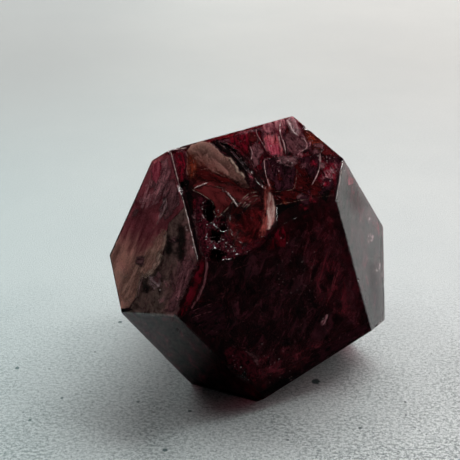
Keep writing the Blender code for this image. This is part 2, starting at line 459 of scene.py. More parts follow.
@dataclass
class Stone:
    """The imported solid's surface, in millimetres, and how the eye sees into it."""

    eye: Vector = field(default_factory=lambda: Vector((-4.92, -197.86, 115.15)))
    pitch: float = 24.0
    field_of_view: float = 26.0
    picture: float = 460.0
    deepest_break: float = 3.5
    touching: float = 0.02
    facing: float = 0.999
    exactly_facing: float = 0.9999
    nearly_level: float = 0.1

    def __post_init__(self) -> None:
        """Reads the solid from the frame."""
        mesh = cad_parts[STONE_NODE].data
        self.points = [vertex.co / MM for vertex in mesh.vertices]
        self.tree = BVHTree.FromPolygons(self.points, [tuple(f.vertices) for f in mesh.polygons])
        self.reach = {facet: max(p.dot(facet.normal()) for p in self.points) for facet in Facet}
        self.middles = {facet: self._middle(mesh, facet) for facet in Facet}
        self.focal = self.picture / 2 / math.tan(math.radians(self.field_of_view / 2))

    def sight(self, pixel: Pixel) -> Vector:
        """Returns the direction from the eye through a picture point."""
        pitch = math.radians(self.pitch)
        ahead = Vector((0.0, math.cos(pitch), -math.sin(pitch)))
        up = Vector((0.0, math.sin(pitch), math.cos(pitch)))
        half = self.picture / 2
        right, rise = (pixel[0] - half) / self.focal, (half - pixel[1]) / self.focal
        return (ahead + Vector((1.0, 0.0, 0.0)) * right + up * rise).normalized()

    def beneath(self, pixel: Pixel, facet: Facet, depth: float) -> Vector:
        """Finds what a picture point shows through a facet, or through the break in it.

        Args:
            pixel: the picture point.
            facet: the facet that it is seen through.
            depth: how far beneath the surface there, in millimetres.

        Returns:
            The place in the stone, in millimetres.
        """
        ray, normal = self.sight(pixel), facet.normal()
        plane = self.eye + ray * ((self.reach[facet] - normal.dot(self.eye)) / normal.dot(ray))
        entry = self.tree.ray_cast(self.eye, ray)[0] or plane
        if (plane - entry).dot(normal) > self.deepest_break or (entry - plane).dot(normal) > 0.0:
            entry = plane
        ratio, facing = 1.0 / GARNET_IOR, -ray.dot(normal)
        bent = ray * ratio + normal * (
            ratio * facing - math.sqrt(1.0 - ratio * ratio * (1.0 - facing * facing))
        )
        return entry + bent * (depth / -bent.dot(normal))

    def laid(self, point: Vector, facet: Facet, depth: float) -> Vector:
        """Finds the place for a point that is counted across a facet from its middle.

        Args:
            point: how far rightwards and downwards it lies, in picture points' size.
            facet: the facet.
            depth: how far beneath it, in millimetres.

        Returns:
            The place, in millimetres.
        """
        normal = facet.normal()
        level = Vector((0.0, 0.0, 1.0)).cross(normal)
        sloped = level.length > self.nearly_level
        level = level.normalized() if sloped else Vector((1.0, 0.0, 0.0))
        across = level * point[0] - normal.cross(level) * point[1]
        return self.middles[facet] + across * POINT_SIZE - normal * depth

    def is_on(self, point: Vector, facet: Facet) -> bool:
        """Says whether a point across a facet lies on its polished face."""
        place = self.laid(point, facet, 0.0)
        _, normal, _, distance = self.tree.find_nearest(place)
        return distance < self.touching and normal.dot(facet.normal()) > self.facing

    def shows(self, pixel: Pixel, facet: Facet) -> bool:
        """Says whether a picture point shows the polished face of a facet."""
        _, normal, _, _ = self.tree.ray_cast(self.eye, self.sight(pixel))
        return normal is not None and normal.dot(facet.normal()) > self.facing

    def _middle(self, mesh: bpy.types.Mesh, facet: Facet) -> Vector:
        """Returns the middle of a facet's polished face."""
        total, area = Vector(), 0.0
        for face in mesh.polygons:
            if face.normal.dot(facet.normal()) > self.exactly_facing:
                total += face.center * face.area
                area += face.area
        return total / area / MM

    def kept_inside(self, point: Vector, margin: float) -> Vector:
        """Returns the point, moved in where it is nearer the surface than the margin."""
        near, normal, _, distance = self.tree.find_nearest(point)
        if (point - near).dot(normal) < -margin:
            return point
        return near - normal * margin


def make_piece(name: str, bm: bmesh.types.BMesh, material: bpy.types.Material) -> bpy.types.Object:
    """Turns a bmesh in millimetres into a finished piece.

    Args:
        name: the piece's name.
        bm: its mesh, which is freed.
        material: its finish.

    Returns:
        The new object, at the origin.
    """
    bmesh.ops.scale(bm, vec=Vector((MM, MM, MM)), verts=bm.verts)
    mesh = bpy.data.meshes.new(name)
    bm.to_mesh(mesh)
    bm.free()
    mesh.materials.append(material)
    piece = bpy.data.objects.new(name, mesh)
    bpy.context.scene.collection.objects.link(piece)
    return piece


def mount(piece: bpy.types.Object) -> bpy.types.Object:
    """Fixes a piece to the stone's body and logs its faces."""
    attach(piece, STONE_BODY)
    LOG.info("%s: %d faces", piece.name, len(piece.data.polygons))
    return piece


# ---------------------------------------------------------------------------------------------
# The body
# ---------------------------------------------------------------------------------------------
@dataclass
class Body:
    """The stone's outer surface, with its broken places refined into shell-like ripples."""

    stone: Stone
    finish: CrystalFinish = CrystalFinish()
    merge: float = 0.001
    flatness: float = 0.02
    cell: float = 0.3
    rounds: int = 4
    flat_angle: float = 0.5
    ripple: float = 0.05
    ripple_length: float = 1.4
    ring_share: float = 0.5
    phase_cells: float = 0.12
    phase_reach: float = 9.0
    grain_cells: float = 1.4

    def build(self) -> bpy.types.Object:
        """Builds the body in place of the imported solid."""
        bm = bmesh.new()
        bm.from_mesh(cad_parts[STONE_NODE].data)
        bmesh.ops.scale(bm, vec=Vector((1 / MM, 1 / MM, 1 / MM)), verts=bm.verts)
        bmesh.ops.remove_doubles(bm, verts=bm.verts, dist=self.merge)
        bmesh.ops.dissolve_limit(
            bm, angle_limit=math.radians(self.flat_angle), verts=bm.verts, edges=bm.edges,
            use_dissolve_boundaries=False, delimit=set(),
        )
        bmesh.ops.triangulate(bm, faces=[f for f in bm.faces if self._is_broken(f)])
        for _ in range(self.rounds):
            edges = {
                e for f in bm.faces if self._is_broken(f) for e in f.edges
                if e.calc_length() > self.cell
            }
            if not edges:
                break
            bmesh.ops.subdivide_edges(bm, edges=list(edges), cuts=1, use_grid_fill=True)
            bmesh.ops.triangulate(bm, faces=[f for f in bm.faces if self._is_broken(f)])
        self._ripple(bm)
        layer = bm.verts.layers.float.new(BROKEN)
        for face in bm.faces:
            face.smooth = self._is_broken(face)
        for vertex in bm.verts:
            vertex[layer] = float(all(f.smooth for f in vertex.link_faces))
        for edge in bm.edges:
            edge.smooth = all(f.smooth for f in edge.link_faces)
        body = make_piece("garnet_body", bm, self.finish.make())
        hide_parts(STONE_NODE)
        return mount(body)

    def _on_facet(self, point: Vector) -> bool:
        """Tells whether a point lies on one of the flat facets."""
        return any(
            reach - point.dot(facet.normal()) < self.flatness
            for facet, reach in self.stone.reach.items()
        )

    def _is_broken(self, face: bmesh.types.BMFace) -> bool:
        """Tells whether a face belongs to a broken place."""
        return not all(self._on_facet(vertex.co) for vertex in face.verts)

    def _ripple(self, bm: bmesh.types.BMesh) -> None:
        """Raises fine ripples on the broken places, and leaves their rims."""
        bm.normal_update()
        moves = []
        for vertex in bm.verts:
            if self._on_facet(vertex.co) or any(self._on_facet(e.other_vert(vertex).co)
                                                for e in vertex.link_edges):
                continue
            phase = noise.noise(vertex.co * self.phase_cells) * self.phase_reach
            ring = math.sin(vertex.co.length / self.ripple_length * math.tau + phase)
            height = self.ring_share * ring + noise.noise(vertex.co * self.grain_cells)
            moves.append((vertex, vertex.normal * self.ripple * height))
        for vertex, move in moves:
            vertex.co += move


# ---------------------------------------------------------------------------------------------
# The clouded heart
# ---------------------------------------------------------------------------------------------
@dataclass(frozen=True)
class HeartFinish:
    """The dense cloud in the middle: black to wine red, with streaks of crimson."""

    black: Colour = (0.004, 0.001, 0.002)
    wine: Colour = (0.11, 0.022, 0.038)
    crimson: Colour = (0.42, 0.04, 0.10)
    roughness: float = 0.7
    broad: Grain = Grain(0.09, 4.0, 0.6, 0.8)
    fine: Grain = Grain(0.5, 6.0, 0.7, 0.5)
    fine_turn: Axes = (20.0, 35.0, 0.0)
    fine_stretch: Axes = (1.0, 0.35, 0.6)
    broad_share: float = 0.5
    toned: Span = (0.40, 0.62)
    fleck_share: float = 0.7
    flecked: Span = (0.54, 0.68)
    fleck_strength: float = 0.7
    relief: float = 0.6

    def make(self) -> bpy.types.Material:
        """Returns the heart's material."""
        graph = Graph("clouded_heart")
        broad = graph.grain(graph.place(), self.broad)
        fine = graph.grain(graph.place(self.fine_turn, self.fine_stretch), self.fine)
        cloud = broad * self.broad_share + fine * (1.0 - self.broad_share)
        tone = graph.blend(cloud.between(*self.toned), self.black, self.wine)
        flecks = fine * self.fleck_share + broad * (1.0 - self.fleck_share)
        flecks = flecks.between(*self.flecked) * self.fleck_strength
        shader = graph.node(
            "ShaderNodeBsdfPrincipled",
            {},
            {"Base Color": graph.blend(flecks, tone, self.crimson),
             "Roughness": self.roughness, "Normal": graph.relief(fine, self.relief)},
        )
        return graph.surface(shader)


@dataclass
class Heart:
    """The clouded heart of the stone.

    It reaches from its middle towards every facet, and stops short of each by that facet's depth.
    Lumps are pairs of cells to a millimetre and height. A point that comes nearer the surface
    than the margin is moved in by it, from the nearest place of the surface.
    """

    stone: Stone
    finish: HeartFinish = HeartFinish()
    middle: Vector = field(default_factory=lambda: Vector((0.0, 0.5, 23.0)))
    depth: float = 1.3
    depths: dict = field(default_factory=lambda: {
        Facet.CROWN: 3.4, Facet.FRONT: 4.5, Facet.LEFT_FLANK: 3.0})
    roundness: float = 60.0
    lumps: tuple[Span, ...] = ((0.07, 2.2), (0.2, 0.9), (0.55, 0.35))
    margin: float = 0.6
    least_facing: float = 0.05
    detail: int = 6

    def build(self) -> bpy.types.Object:
        """Builds the heart as one closed lump."""
        bm = bmesh.new()
        bmesh.ops.create_icosphere(bm, subdivisions=self.detail, radius=1.0)
        for vertex in bm.verts:
            direction = vertex.co.normalized()
            point = self.middle + direction * self._span(direction)
            swell = sum(noise.noise(point * rate) * height for rate, height in self.lumps)
            vertex.co = self.stone.kept_inside(point + direction * swell, self.margin)
        for face in bm.faces:
            face.smooth = True
        return mount(make_piece("clouded_heart", bm, self.finish.make()))

    def _span(self, direction: Vector) -> float:
        """Returns how far the heart reaches in a direction, rounded where facets meet."""
        total = 0.0
        for facet, reach in self.stone.reach.items():
            facing = facet.normal().dot(direction)
            if facing > self.least_facing:
                room = reach - self.depths.get(facet, self.depth) - facet.normal().dot(self.middle)
                total += (room / facing) ** -self.roundness
        return total ** (-1.0 / self.roundness)


# ---------------------------------------------------------------------------------------------
# Veils
# ---------------------------------------------------------------------------------------------
@dataclass(frozen=True)
class Veil:
    """One inclusion: its outline as seen through a facet, and its depth in millimetres.

    Tilt is how much deeper it gets for each picture point to the right and downwards. Flow is the
    direction of its pattern, in degrees from rightwards towards downwards. Shade is the pair of
    picture points between which it changes colour. Relief is how far it waves, and ragged how far
    its rim wanders, in picture points.
    """

    look: Look
    facet: Facet
    depth: float
    outline: tuple[Pixel, ...]
    tilt: Pixel = (0.0, 0.0)
    flow: float = 90.0
    shade: tuple[Pixel, Pixel] | None = None
    relief: float = 0.3
    ragged: float = 1.2
    step: float = 1.5
    seen: bool = True


class RimFinder:
    """Measures how far points lie from an outline's points."""

    def __init__(self, rim: list[Vector]) -> None:
        """Sorts the outline's points."""
        self.tree = KDTree(len(rim))
        for index, point in enumerate(rim):
            self.tree.insert(point.to_3d(), index)
        self.tree.balance()

    def distance(self, point: Vector) -> float:
        """Returns the distance from a point to the outline."""
        return self.tree.find(point.to_3d())[2]


def fill(rim: list[Vector], step: float) -> tuple[list[Vector], list]:
    """Fills a rim with staggered rows of points.

    Args:
        rim: the points of the rim in order.
        step: how far apart the points inside lie.

    Returns:
        All the points, and the triangles between them.
    """
    stagger, start, clear, merge, inside = 0.5, (0.3, 0.4), 0.45, 1e-4, 1
    low = Vector((min(p.x for p in rim), min(p.y for p in rim)))
    high = Vector((max(p.x for p in rim), max(p.y for p in rim)))
    rows = int((high.y - low.y) / step)
    columns = int((high.x - low.x) / step)
    grid = [
        low + Vector(((column + stagger * (row % 2) + start[0]) * step, (row + start[1]) * step))
        for row in range(rows) for column in range(columns + 1)
    ]
    nearest = RimFinder(rim)
    grid = [p for p in grid if nearest.distance(p) > clear * step]
    filled = delaunay_2d_cdt(rim + grid, [], [list(range(len(rim)))], inside, merge)
    return [Vector(p) for p in filled[0]], filled[2]


@dataclass
class VeilMaker:
    """Builds veils as thin closed sheets, each group of them one piece."""

    stone: Stone
    thickness: float = 0.05
    margin: float = 0.12
    least_seen: float = 0.05
    least_hidden: float = 0.1
    wave_cells: float = 0.09
    rim_cells: float = 0.35
    wave_shift: float = 9.0
    flow_shift: float = 13.0
    rim_shift: float = 7.0
    second_noise: Vector = field(default_factory=lambda: Vector((0.0, 0.0, 50.0)))
    materials: dict = field(default_factory=dict)

    def build(self, name: str, veils: tuple[Veil, ...]) -> bpy.types.Object:
        """Builds one piece.

        Args:
            name: the piece's name.
            veils: its veils, all of one look.

        Returns:
            The mounted piece.
        """
        bm = bmesh.new()
        for layer in (RIM, SHADE):
            bm.verts.layers.float.new(layer)
        bm.loops.layers.uv.new(FLOW)
        for veil in veils:
            self._add(bm, veil)
        look = veils[0].look
        if look not in self.materials:
            self.materials[look] = look.value.make(look.name.lower() + "_veil")
        return mount(make_piece(name, bm, self.materials[look]))

    def _add(self, bm: bmesh.types.BMesh, veil: Veil) -> None:
        """Adds one veil's sheet to a piece."""
        rim = self._rim(veil)
        nearest = RimFinder(rim)
        points, faces = fill(rim, veil.step)
        middle = sum(points, Vector((0.0, 0.0))) / len(points)
        rims, shades = bm.verts.layers.float[RIM], bm.verts.layers.float[SHADE]
        sheets = []
        for offset in (0.0, self.thickness):
            sheet = []
            for point in points:
                spot = Vector((point.x, point.y, veil.depth * self.wave_shift))
                wave = noise.noise(spot * self.wave_cells)
                depth = veil.depth + offset + veil.relief * wave
                depth += veil.tilt[0] * (point.x - middle.x) + veil.tilt[1] * (point.y - middle.y)
                vertex = bm.verts.new(self._place(point, veil, depth, offset))
                vertex[rims] = min(1.0, nearest.distance(point) / RIM_SPAN)
                vertex[shades] = self._shade(point, veil.shade)
                sheet.append(vertex)
            sheets.append(sheet)
        added = self._close(bm, sheets, faces)
        self._set_flow(bm, added, points, sheets, veil)

    def _place(self, point: Vector, veil: Veil, depth: float, offset: float) -> Vector:
        """Returns where a point of a sheet lies, inside the stone or as a skin on its surface."""
        if not veil.seen:
            depth = max(depth, self.least_hidden + offset)
            place = self.stone.laid(point, veil.facet, depth)
            return self.stone.kept_inside(place, self.margin + offset)
        if veil.depth < 0.0:
            surface = self.stone.beneath(tuple(point), veil.facet, 0.0)
            near, normal, _, _ = self.stone.tree.find_nearest(surface)
            return near + normal * (-veil.depth - offset)
        depth = max(depth, self.least_seen + offset)
        place = self.stone.beneath(tuple(point), veil.facet, depth)
        return self.stone.kept_inside(place, self.margin + offset)

    @staticmethod
    def _shade(point: Vector, ends: tuple[Pixel, Pixel] | None) -> float:
        """Returns how far a point is from the first of two ends to the second."""
        if ends is None:
            return 0.0
        start, run = Vector(ends[0]), Vector(ends[1]) - Vector(ends[0])
        return min(1.0, max(0.0, (point - start).dot(run) / run.length_squared))

    def _set_flow(self, bm: bmesh.types.BMesh, faces: list, points: list[Vector], sheets: list,
                  veil: Veil) -> None:
        """Writes the flow map, in millimetres along and across the veil's direction."""
        turn = math.radians(veil.flow)
        ahead = Vector((math.cos(turn), math.sin(turn))) * POINT_SIZE
        aside = Vector((-ahead.y, ahead.x))
        start = veil.outline[0]
        shift = Vector((veil.depth * self.flow_shift + start[0], start[1]))
        where = {
            vertex: Vector((point.dot(ahead), point.dot(aside))) + shift
            for sheet in sheets for vertex, point in zip(sheet, points)
        }
        layer = bm.loops.layers.uv[FLOW]
        for face in faces:
            for loop in face.loops:
                loop[layer].uv = where[loop.vert]

    def _rim(self, veil: Veil) -> list[Vector]:
        """Returns the outline with points at every step and a wandering line."""
        rim = []
        for start, end in zip(veil.outline, veil.outline[1:] + veil.outline[:1]):
            start, end = Vector(start), Vector(end)
            count = max(1, round((end - start).length / veil.step))
            for index in range(count):
                point = start.lerp(end, index / count)
                spot = Vector((point.x, point.y, veil.depth * self.rim_shift)) * self.rim_cells
                wander = Vector((noise.noise(spot), noise.noise(spot + self.second_noise)))
                rim.append(point + wander * veil.ragged)
        return rim

    @staticmethod
    def _close(bm: bmesh.types.BMesh, sheets: list, faces: list) -> list:
        """Joins two sheets into a closed thin body and returns its faces."""
        used, added = set(), []
        front, back = sheets
        for face in faces:
            added.append(bm.faces.new([front[i] for i in face]))
            added.append(bm.faces.new([back[i] for i in reversed(face)]))
            used.update(zip(face, face[1:] + face[:1]))
        for a, b in sorted(edge for edge in used if edge[::-1] not in used):
            added.append(bm.faces.new([front[b], front[a], back[a], back[b]]))
        loose = [v for sheet in sheets for v in sheet if not v.link_faces]
        bmesh.ops.delete(bm, geom=loose, context="VERTS")
        bmesh.ops.recalc_face_normals(bm, faces=added)
        for face in added:
            face.smooth = len(face.verts) == 3
        return added


def crown(look: Look, depth: float, *outline: Pixel, **more) -> Veil:
    """Returns a veil that is seen through the crown."""
    return Veil(look, Facet.CROWN, depth, outline, **more)


def front(look: Look, depth: float, *outline: Pixel, **more) -> Veil:
    """Returns a veil that is seen through the front."""
    return Veil(look, Facet.FRONT, depth, outline, **more)


def flank(look: Look, depth: float, *outline: Pixel, **more) -> Veil:
    """Returns a veil that is seen through the left flank."""
    return Veil(look, Facet.LEFT_FLANK, depth, outline, **more)


def shine(look: Look, depth: float, *outline: Pixel, **more) -> Veil:
    """Returns a veil that is seen through the right flank."""
    return Veil(look, Facet.RIGHT_FLANK, depth, outline, **more)


VEILS = {
    "tan_shelf": (
        crown(Look.TAN, 0.45, (187, 150), (191, 144.5), (201.7, 141), (207.8, 141.8),
              (213.9, 145.6), (218.3, 150), (223.9, 155), (230.5, 157.7), (233.9, 162),
              (237.2, 167.5), (238.9, 171), (243.9, 173.7), (245, 178.7), (247.2, 183),
              (251, 188), (245, 192.5), (236, 188.5), (225, 184.5), (212, 183), (202, 182),
              (196, 181), (187.5, 180), (186, 171), (186, 160), flow=55.0, ragged=0.8,
              shade=((205, 190), (232, 152))),),
    "shelf_rim": (
        crown(Look.BEIGE, 0.3, (228, 156.5), (231, 157.2), (234.6, 161.8), (238, 167.3),
              (239.5, 170.5), (244.5, 173.2), (246, 178.7), (243, 179), (240, 175), (236, 172),
              (233, 166), (229, 160), flow=60.0, ragged=1.0),
        crown(Look.BEIGE, 0.3, (199, 142), (204, 140.5), (209, 141.6), (214.5, 145.4),
              (219, 150), (224.5, 155), (223.5, 156), (218, 151.6), (213.5, 147), (208, 143.2),
              (204, 142.2), flow=45.0, ragged=0.4),),
    "orange_stains": (
        crown(Look.ORANGE, 0.25, (187, 155), (193, 153), (198, 160), (199, 169), (196, 180),
              (188, 180), (186.5, 166), flow=95.0, ragged=2.0),
        crown(Look.ORANGE, 0.8, (303, 126), (312, 132), (323, 142), (328, 149), (321, 152),
              (311, 148), (305, 138), flow=40.0, ragged=2.0),
        crown(Look.ORANGE, 0.5, (236, 238), (252, 230), (262, 224), (271, 230), (264, 243),
              (250, 251), (238, 250), flow=150.0, ragged=2.0),),
    "black_crack": (
        # Painted shadow: this sheet darkens the band beside the shelf's step, where the step shades
        # it. The other sheets are dark cracks.
        crown(Look.BLACK, 0.7, (209, 139.8), (219, 139.5), (229.2, 142.5), (238.2, 149.8),
              (243, 157.4), (248.2, 163.9), (251.5, 170.3), (250.4, 177.2), (247, 179.7),
              (245.3, 176), (244.5, 172), (239, 169), (235.7, 160.5), (230.9, 156.5),
              (224.3, 153.5), (216, 147), ragged=1.5, flow=40.0),
        front(Look.BLACK, 0.5, (275, 206), (285, 204.5), (298, 202.5), (300, 205.5),
              (290, 208.5), (283, 213), (277, 219), ragged=1.5),
        crown(Look.BLACK, 1.6, (304, 180), (316, 178), (324, 186), (322, 195), (310, 198),
              (298, 199), (296, 190), ragged=2.0),
        flank(Look.BLACK, 0.4, (119, 308), (124, 309.5), (131, 307.5), (134, 310), (125, 312.4),
              (121, 312.4), ragged=0.3),
        crown(Look.BLACK, 0.9, (183, 176), (190, 181), (188, 190), (196, 200), (199, 224),
              (193, 224), (186, 196), ragged=1.0),),
    "pit_crust": (
        crown(Look.BLACK, -0.05, (206, 200), (212, 200), (213.5, 212), (212, 222), (207, 223),
              (204, 212), ragged=8.0, step=0.8),
        crown(Look.BLACK, -0.05, (218.5, 217.5), (224.5, 217.5), (225, 224), (219.5, 224.5),
              ragged=4.0, step=0.8),
        crown(Look.BLACK, -0.05, (209, 228), (219, 227), (222, 234), (217, 240), (210, 239),
              ragged=7.0, step=0.8),
        crown(Look.BLACK, -0.05, (211, 249), (222, 248), (226, 254), (221, 260.5), (210, 259),
              ragged=7.0, step=0.8),
        crown(Look.BLACK, -0.05, (178, 181), (184, 180.5), (185, 187), (181, 189.5), step=1.0),),
    "rust_skins": (
        crown(Look.RUST, -0.03, (264, 184), (269, 183), (273, 190), (275.5, 199), (277, 210),
              (276.5, 221), (274, 229), (268, 235), (262, 236), (259, 230), (263, 222),
              (265, 210), (264.5, 198), (262, 190), flow=95.0, ragged=1.0, step=1.1),
        front(Look.RUST, -0.03, (232, 243), (240, 234), (250, 228), (258, 222), (266, 220),
              (272, 226), (268, 239), (258, 248), (246, 254), (234, 256), flow=120.0,
              ragged=5.0, step=1.2),
        crown(Look.RUST, -0.03, (240, 214), (252, 206), (264, 204), (266, 216), (260, 228),
              (250, 236), (240, 238), (236, 226), flow=60.0, ragged=5.0, step=1.2),
        crown(Look.RUST, -0.03, (226, 222), (234, 214), (240, 226), (238, 240), (230, 240),
              flow=60.0, ragged=4.0, step=1.2),),
    "dusk_skin": (
        shine(Look.DUSK, -0.02, (345.5, 162), (352, 165), (366, 190), (373, 207), (362, 222),
              (347, 214), (338.5, 200), (341.5, 180), flow=80.0, ragged=3.0),
        shine(Look.DUSK, -0.02, (360, 258), (382.5, 258), (383.5, 300), (382.5, 319),
              (374, 328), (366, 300), flow=80.0, ragged=2.0),),
    "soot_spots": (
        flank(Look.SOOT, 0.35, (176, 224), (184, 222), (188, 238), (187, 256), (181, 266),
              (174, 258), (175, 240), flow=95.0, ragged=5.0),
        flank(Look.SOOT, 0.35, (165, 236), (171, 232), (175, 242), (174, 254), (168, 258),
              (165, 250), flow=95.0, ragged=4.0),
        flank(Look.SOOT, 0.25, (141, 281), (147, 279), (152, 287), (149, 294), (140, 293),
              flow=110.0, ragged=2.0),),
    "sage_glow": (
        flank(Look.SAGE, 0.3, (163, 226), (167.5, 231), (166.5, 243), (162.5, 254), (157, 263),
              (150.5, 272), (145, 278), (141, 276), (139, 286), (135, 297), (128, 303),
              (121, 300), (117, 285), (127, 271), (139, 258), (149, 245), (156, 234),
              flow=115.0, ragged=3.0),),
    "silk_threads": (
        front(Look.SILK, 0.35, (205.0, 257), (208.2, 257.5), (208.8, 268), (205.5, 285),
              (199.5, 298.5), (192.5, 309), (190, 309), (197, 296), (202.6, 284),
              (205.2, 268), flow=105.0, ragged=0.3, step=0.9),
        crown(Look.SILK, 0.3, (263.5, 123.5), (271, 121), (274, 124), (272, 133), (266, 134),
              (262, 129), flow=75.0, ragged=1.5),
        crown(Look.SILK, 0.3, (274, 120.5), (284, 117.5), (286, 123), (282, 133), (276, 131),
              flow=75.0, ragged=1.5),
        crown(Look.SILK, 0.3, (288, 117), (293, 115.8), (298, 120.5), (299, 129), (295, 130),
              (290, 124), flow=60.0, ragged=1.0),
        # Painted highlight: a pink skin on the front where it glints.
        front(Look.SILK, -0.03, (325.5, 314), (328.8, 314.8), (327, 320), (324.3, 323.5),
              (320.8, 326.5), (321, 322), (323.8, 318), flow=110.0, ragged=1.2, step=0.7),
        shine(Look.SILK, 0.15, (348, 174), (351, 176), (352.5, 184), (349.5, 183), flow=80.0),),
    "gleam_skin": (
        # Painted highlight: a coral skin that fringes the glint along the scoop's wall.
        crown(Look.GLEAM, -0.05, (262, 190), (266, 183), (272.5, 188), (271, 200), (270, 214),
              (270, 226), (266.5, 235), (260.5, 240), (257, 235), (261.5, 222), (263, 206),
              flow=95.0, ragged=1.5, step=1.0),),
    "flush_spots": (
        flank(Look.FLUSH, 0.12, (150, 170), (153.5, 162.5), (158, 159.5), (162, 161), (163, 168),
              (161, 178), (157, 186), (151, 180), flow=95.0, ragged=1.0),
        shine(Look.FLUSH, 0.15, (345.5, 177), (349.5, 173), (355, 177.5), (354.5, 184),
              (350.5, 188), (346.5, 185), flow=80.0),
        crown(Look.FLUSH, 0.15, (265, 137), (269, 138), (273, 143), (279, 143), (282.5, 149),
              (281, 156), (270, 157), (266.5, 148), flow=82.0, ragged=1.5),),
    "scoop_crust": (
        crown(Look.CRUST, -0.03, (168, 150.5), (176, 148), (188, 146.3), (189, 148.7),
              (178, 151.3), (170, 153.5), ragged=0.5, step=0.9),
        crown(Look.CRUST, -0.03, (197, 198), (204, 194), (213, 196), (216, 208), (222, 214),
              (230, 222), (228, 234), (234, 242), (230, 252), (222, 258), (207, 261),
              (200, 250), (195, 226), (195, 208), ragged=3.0, step=1.2),
        front(Look.CRUST, -0.03, (206, 254), (222, 248), (236, 246), (250, 241), (262, 231),
              (268, 222), (275, 226), (268, 240), (260, 249), (246, 255), (232, 259.5),
              (218, 262), (206, 263), ragged=0.8, step=1.2),
        front(Look.CRUST, -0.03, (222, 348), (240, 346), (256, 358), (260, 372), (256, 384),
              (238, 376), (225, 362), ragged=4.0, step=1.2),),
    "satin_wall": (
        # Painted highlights: the glint along the scoop's wall, and the glint on the front.
        crown(Look.SATIN, -0.07, (267.2, 193), (270.8, 191), (273.6, 197), (275.4, 204),
              (276, 212), (275.6, 220), (272.6, 227), (268.6, 231.5), (265.6, 230.5),
              (266.2, 223), (266, 213), (266, 203), flow=95.0, ragged=1.0, step=0.9),
        front(Look.SATIN, 0.3, (325, 314), (328.5, 315.5), (326, 321), (324, 323.5),
              (320.5, 326.5), (321, 321), (323.5, 319), ragged=1.5, step=0.8),
        crown(Look.SATIN, 0.3, (267.4, 178), (269.3, 177), (270.4, 183), (271, 188),
              (269, 189), (267.4, 185), flow=95.0, ragged=0.4, step=0.9),
),
    "crimson_windows": (
        crown(Look.CRIMSON, 1.6, (228.3, 137.5), (236, 133), (247, 131), (254, 132.2),
              (251.4, 141), (250.3, 148.7), (249.8, 158), (242.8, 155.5), (236, 149),
              (229.4, 144), flow=70.0),
        crown(Look.CRIMSON, 0.8, (172.5, 152), (179.4, 149.5), (186, 153), (187, 166),
              (186, 179), (180, 186), flow=80.0, ragged=2.0),
        crown(Look.CRIMSON, 1.2, (318, 158), (340, 162), (335, 194), (322, 196), (313, 192),
              (311, 184), (318, 172), flow=60.0, ragged=2.5),
        front(Look.CRIMSON, 0.6, (198.5, 262), (202, 257.5), (206.5, 258), (206, 271),
              (202, 285), (195, 300), (188, 312), (182, 318), (176, 316.5), (186, 294),
              (193, 276), flow=110.0),
        crown(Look.CRIMSON, 1.4, (249, 133), (264, 127), (262, 145), (266, 158), (262, 174),
              (253, 168), (250, 150), flow=80.0, ragged=2.5),
        crown(Look.CRIMSON, 1.6, (262, 156), (300, 150), (322, 150), (336, 160), (330, 186),
              (300, 200), (268, 202), (264, 180), flow=10.0, ragged=4.0),
        crown(Look.CRIMSON, 0.9, (190, 196), (198, 200), (200, 226), (206, 250), (208, 260),
              (201, 260), (196, 236), flow=100.0, ragged=2.0),
        front(Look.CRIMSON, 0.8, (274, 230), (282, 226), (292, 232), (288, 246), (276, 252),
              (266, 250), ragged=3.0),),
    "ember_bowl": (
        crown(Look.EMBER, 0.28, (187, 163), (198, 160), (210, 167), (224, 171), (238, 178),
              (246, 186), (240, 192), (224, 188), (205, 185), (189, 182), flow=20.0, ragged=5.0),
        crown(Look.EMBER, 0.3, (226, 196), (240, 186), (262, 188), (268, 205), (268, 222),
              (256, 238), (240, 250), (226, 250), (222, 236), (226, 214), flow=140.0,
              ragged=3.0),
        crown(Look.EMBER, 0.9, (262, 160), (298, 156), (312, 176), (336, 190), (334, 196),
              (300, 203), (272, 206), (266, 186), flow=20.0, ragged=3.0),),
    "coral_glow": (
        crown(Look.CORAL, 0.5, (262.8, 138), (266, 132), (272, 134.5), (277, 132.2),
              (280.4, 141), (283.8, 147.5), (285, 156), (280.5, 158.4), (275, 157.8),
              (268.3, 156.3), (265, 149.8), flow=80.0, ragged=1.5),
        flank(Look.CORAL, 0.4, (150.5, 162), (159, 157), (164, 163), (162, 174), (156, 176),
              flow=100.0),),
    "pink_haze": (
        flank(Look.PINK, 0.2, (148, 178), (152, 169), (160, 160), (168, 157), (172, 170),
              (168, 190), (156, 206), (143, 212), (137, 202), flow=115.0, ragged=2.0),
        crown(Look.PINK, 1.2, (258, 128), (276, 121), (290, 116.5), (292, 124), (284, 136),
              (276, 138), (264, 140), flow=75.0, ragged=2.0),
        crown(Look.PINK, 0.8, (226, 137), (240, 131.5), (254, 127.5), (256, 132), (242, 135.5),
              (230, 140), flow=160.0),
        crown(Look.PINK, 0.5, (175, 150), (183, 147.5), (187, 147.6), (184, 151), (178, 154)),
        crown(Look.PINK, 0.7, (322, 170), (334, 168), (333, 186), (326, 190), (320, 184),
              flow=60.0, ragged=2.0),
        flank(Look.PINK, 0.4, (150, 168), (167, 155), (173, 178), (177, 198), (165, 202),
              (156, 190), flow=112.0, ragged=2.0),
        flank(Look.PINK, 0.4, (186, 250), (194, 256), (196, 264), (186, 290), (176, 312),
              (168, 312), (172, 284), (176, 264), flow=105.0, ragged=3.0),),
    "pale_haze": (
        crown(Look.HAZE, 0.14, (285, 118.5), (292, 116), (298, 121), (301, 131), (297, 137),
              (291, 133), (287, 126), flow=70.0),
        crown(Look.HAZE, 0.12, (201, 200), (206, 199), (206.5, 221), (203, 225), (199, 214),
              flow=90.0, ragged=2.0),
        flank(Look.HAZE, 0.2, (148, 277), (153, 275), (162, 279), (161, 288), (154, 291),
              (150, 286), flow=30.0),
